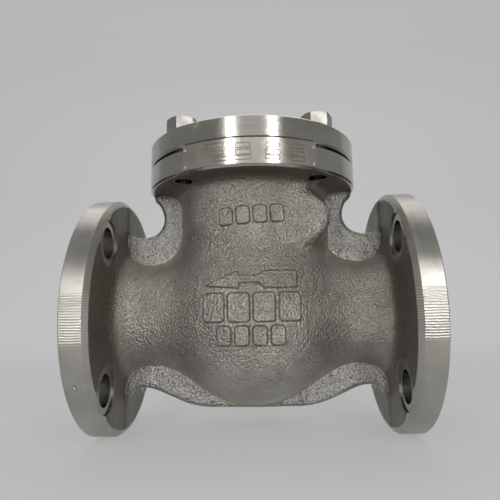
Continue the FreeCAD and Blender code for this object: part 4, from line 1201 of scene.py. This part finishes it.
def studio_sweep(studio):
    """A floor that curves up into a wall far behind the valve."""
    bend, front, back, top, half = 0.5, -2.2, 1.5, 2.6, 2.6
    line = [(front, 0.0), (back - bend, 0.0)]
    line += [(back - bend + bend * math.sin(a), bend - bend * math.cos(a))
             for a in np.linspace(0, math.pi / 2, 25)[1:]]
    line.append((back, top))
    points = [(MIDDLE + side * half, y, FLOOR_LEVEL + z) for y, z in line for side in (-1, 1)]
    faces = [(i, i + 1, i + 3, i + 2) for i in range(0, len(points) - 2, 2)]
    mesh = plain_mesh("studio_sweep", points, faces)
    mesh.shade_smooth()
    f = Finish("studio_floor")
    depth = split(f.place)[1]
    shade = f.blend(f.spread(depth, 0.1, 1.3), rgb(studio.floor_colour), rgb(studio.wall_colour))
    camera, glossy, through = (f.node("LightPath", {}, "Is %s Ray" % kind)
                               for kind in ("Camera", "Glossy", "Transmission"))
    seen = (camera + glossy).math("ADD", through, clamp=True)
    glow = f.spread(depth, 0.1, 1.3, studio.floor_glow, studio.wall_glow)
    f.shader({"Emission Color": (0.995, 1.0, 0.998, 1.0), "Emission Strength": glow * seen})
    return put("studio_sweep", mesh, f.done(shade, 0.8, 0.0, f.bump(f.noise(700, 2.0), 0.0001, 0.2)))


def area_lamp(name, place, wide, tall, power, aim):
    lamp = bpy.data.lights.new(name, "AREA")
    lamp.shape = "RECTANGLE"
    lamp.size, lamp.size_y, lamp.energy = wide, tall, power
    holder = bpy.data.objects.new(name, lamp)
    bpy.context.scene.collection.objects.link(holder)
    holder.location = place
    holder.rotation_mode = "QUATERNION"
    holder.rotation_quaternion = (aim - place).to_track_quat("-Z", "Y")


def upright_lamp(name, bearing, distance, wide, tall, power, aim):
    """An upright lamp at a bearing from the line to the camera, standing on the floor's height."""
    angle = math.radians(bearing)
    place = aim + Vector((math.sin(angle), -math.cos(angle), 0)) * distance
    place.z = FLOOR_LEVEL + tall / 2 + 0.02
    area_lamp(name, place, wide, tall, power, Vector((aim.x, aim.y, place.z)))


def photo_camera(scene):
    """The camera at the photograph's place, angle and field of view."""
    lens = bpy.data.cameras.new("photo_camera")
    lens.sensor_width = 36.0
    lens.lens = 33.97
    lens.clip_start, lens.clip_end = 0.01, 20.0
    camera = bpy.data.objects.new("photo_camera", lens)
    scene.collection.objects.link(camera)
    right = Vector((0.99909351, 0.03831361, -0.0185534))
    ahead = Vector((-0.03545193, 0.99013041, 0.13559103))
    up = Vector((0.02356526, -0.13481036, 0.99059116))
    place = Matrix.Translation(at(9.031, -317.973, -1.038))
    camera.matrix_world = place @ Matrix((right, up, -ahead)).transposed().to_4x4()
    scene.camera = camera


class VALVE_PT_build(bpy.types.Panel):
    """Lists the valve's steps in the 3D view's sidebar"""

    bl_label = "Swing check valve"
    bl_idname = "VALVE_PT_build"
    bl_space_type = "VIEW_3D"
    bl_region_type = "UI"
    bl_category = "Check valve"

    def draw(self, context):
        for step in STEPS:
            self.layout.operator(step.bl_idname)
        for owner in (context.scene.valve_look, context.scene.valve_studio):
            column = self.layout.column()
            for key in owner.__annotations__:
                column.prop(owner, key)


STEPS = (VALVE_OT_cast_body, VALVE_OT_body_marks, VALVE_OT_pipe_faces, VALVE_OT_cover, VALVE_OT_cover_bolts,
         VALVE_OT_nameplate, VALVE_OT_swing_gear, VALVE_OT_studio)
CLASSES = (ValveLook, StudioLook) + STEPS + (VALVE_PT_build,)


def register():
    for item in CLASSES:
        bpy.utils.register_class(item)
    bpy.types.Scene.valve_look = bpy.props.PointerProperty(type=ValveLook)
    bpy.types.Scene.valve_studio = bpy.props.PointerProperty(type=StudioLook)


def unregister():
    del bpy.types.Scene.valve_studio
    del bpy.types.Scene.valve_look
    for item in reversed(CLASSES):
        bpy.utils.unregister_class(item)


def main():
    register()
    for step in STEPS:
        group, name = step.bl_idname.split(".")
        getattr(getattr(bpy.ops, group), name)()


if __name__ == "__main__":
    main()
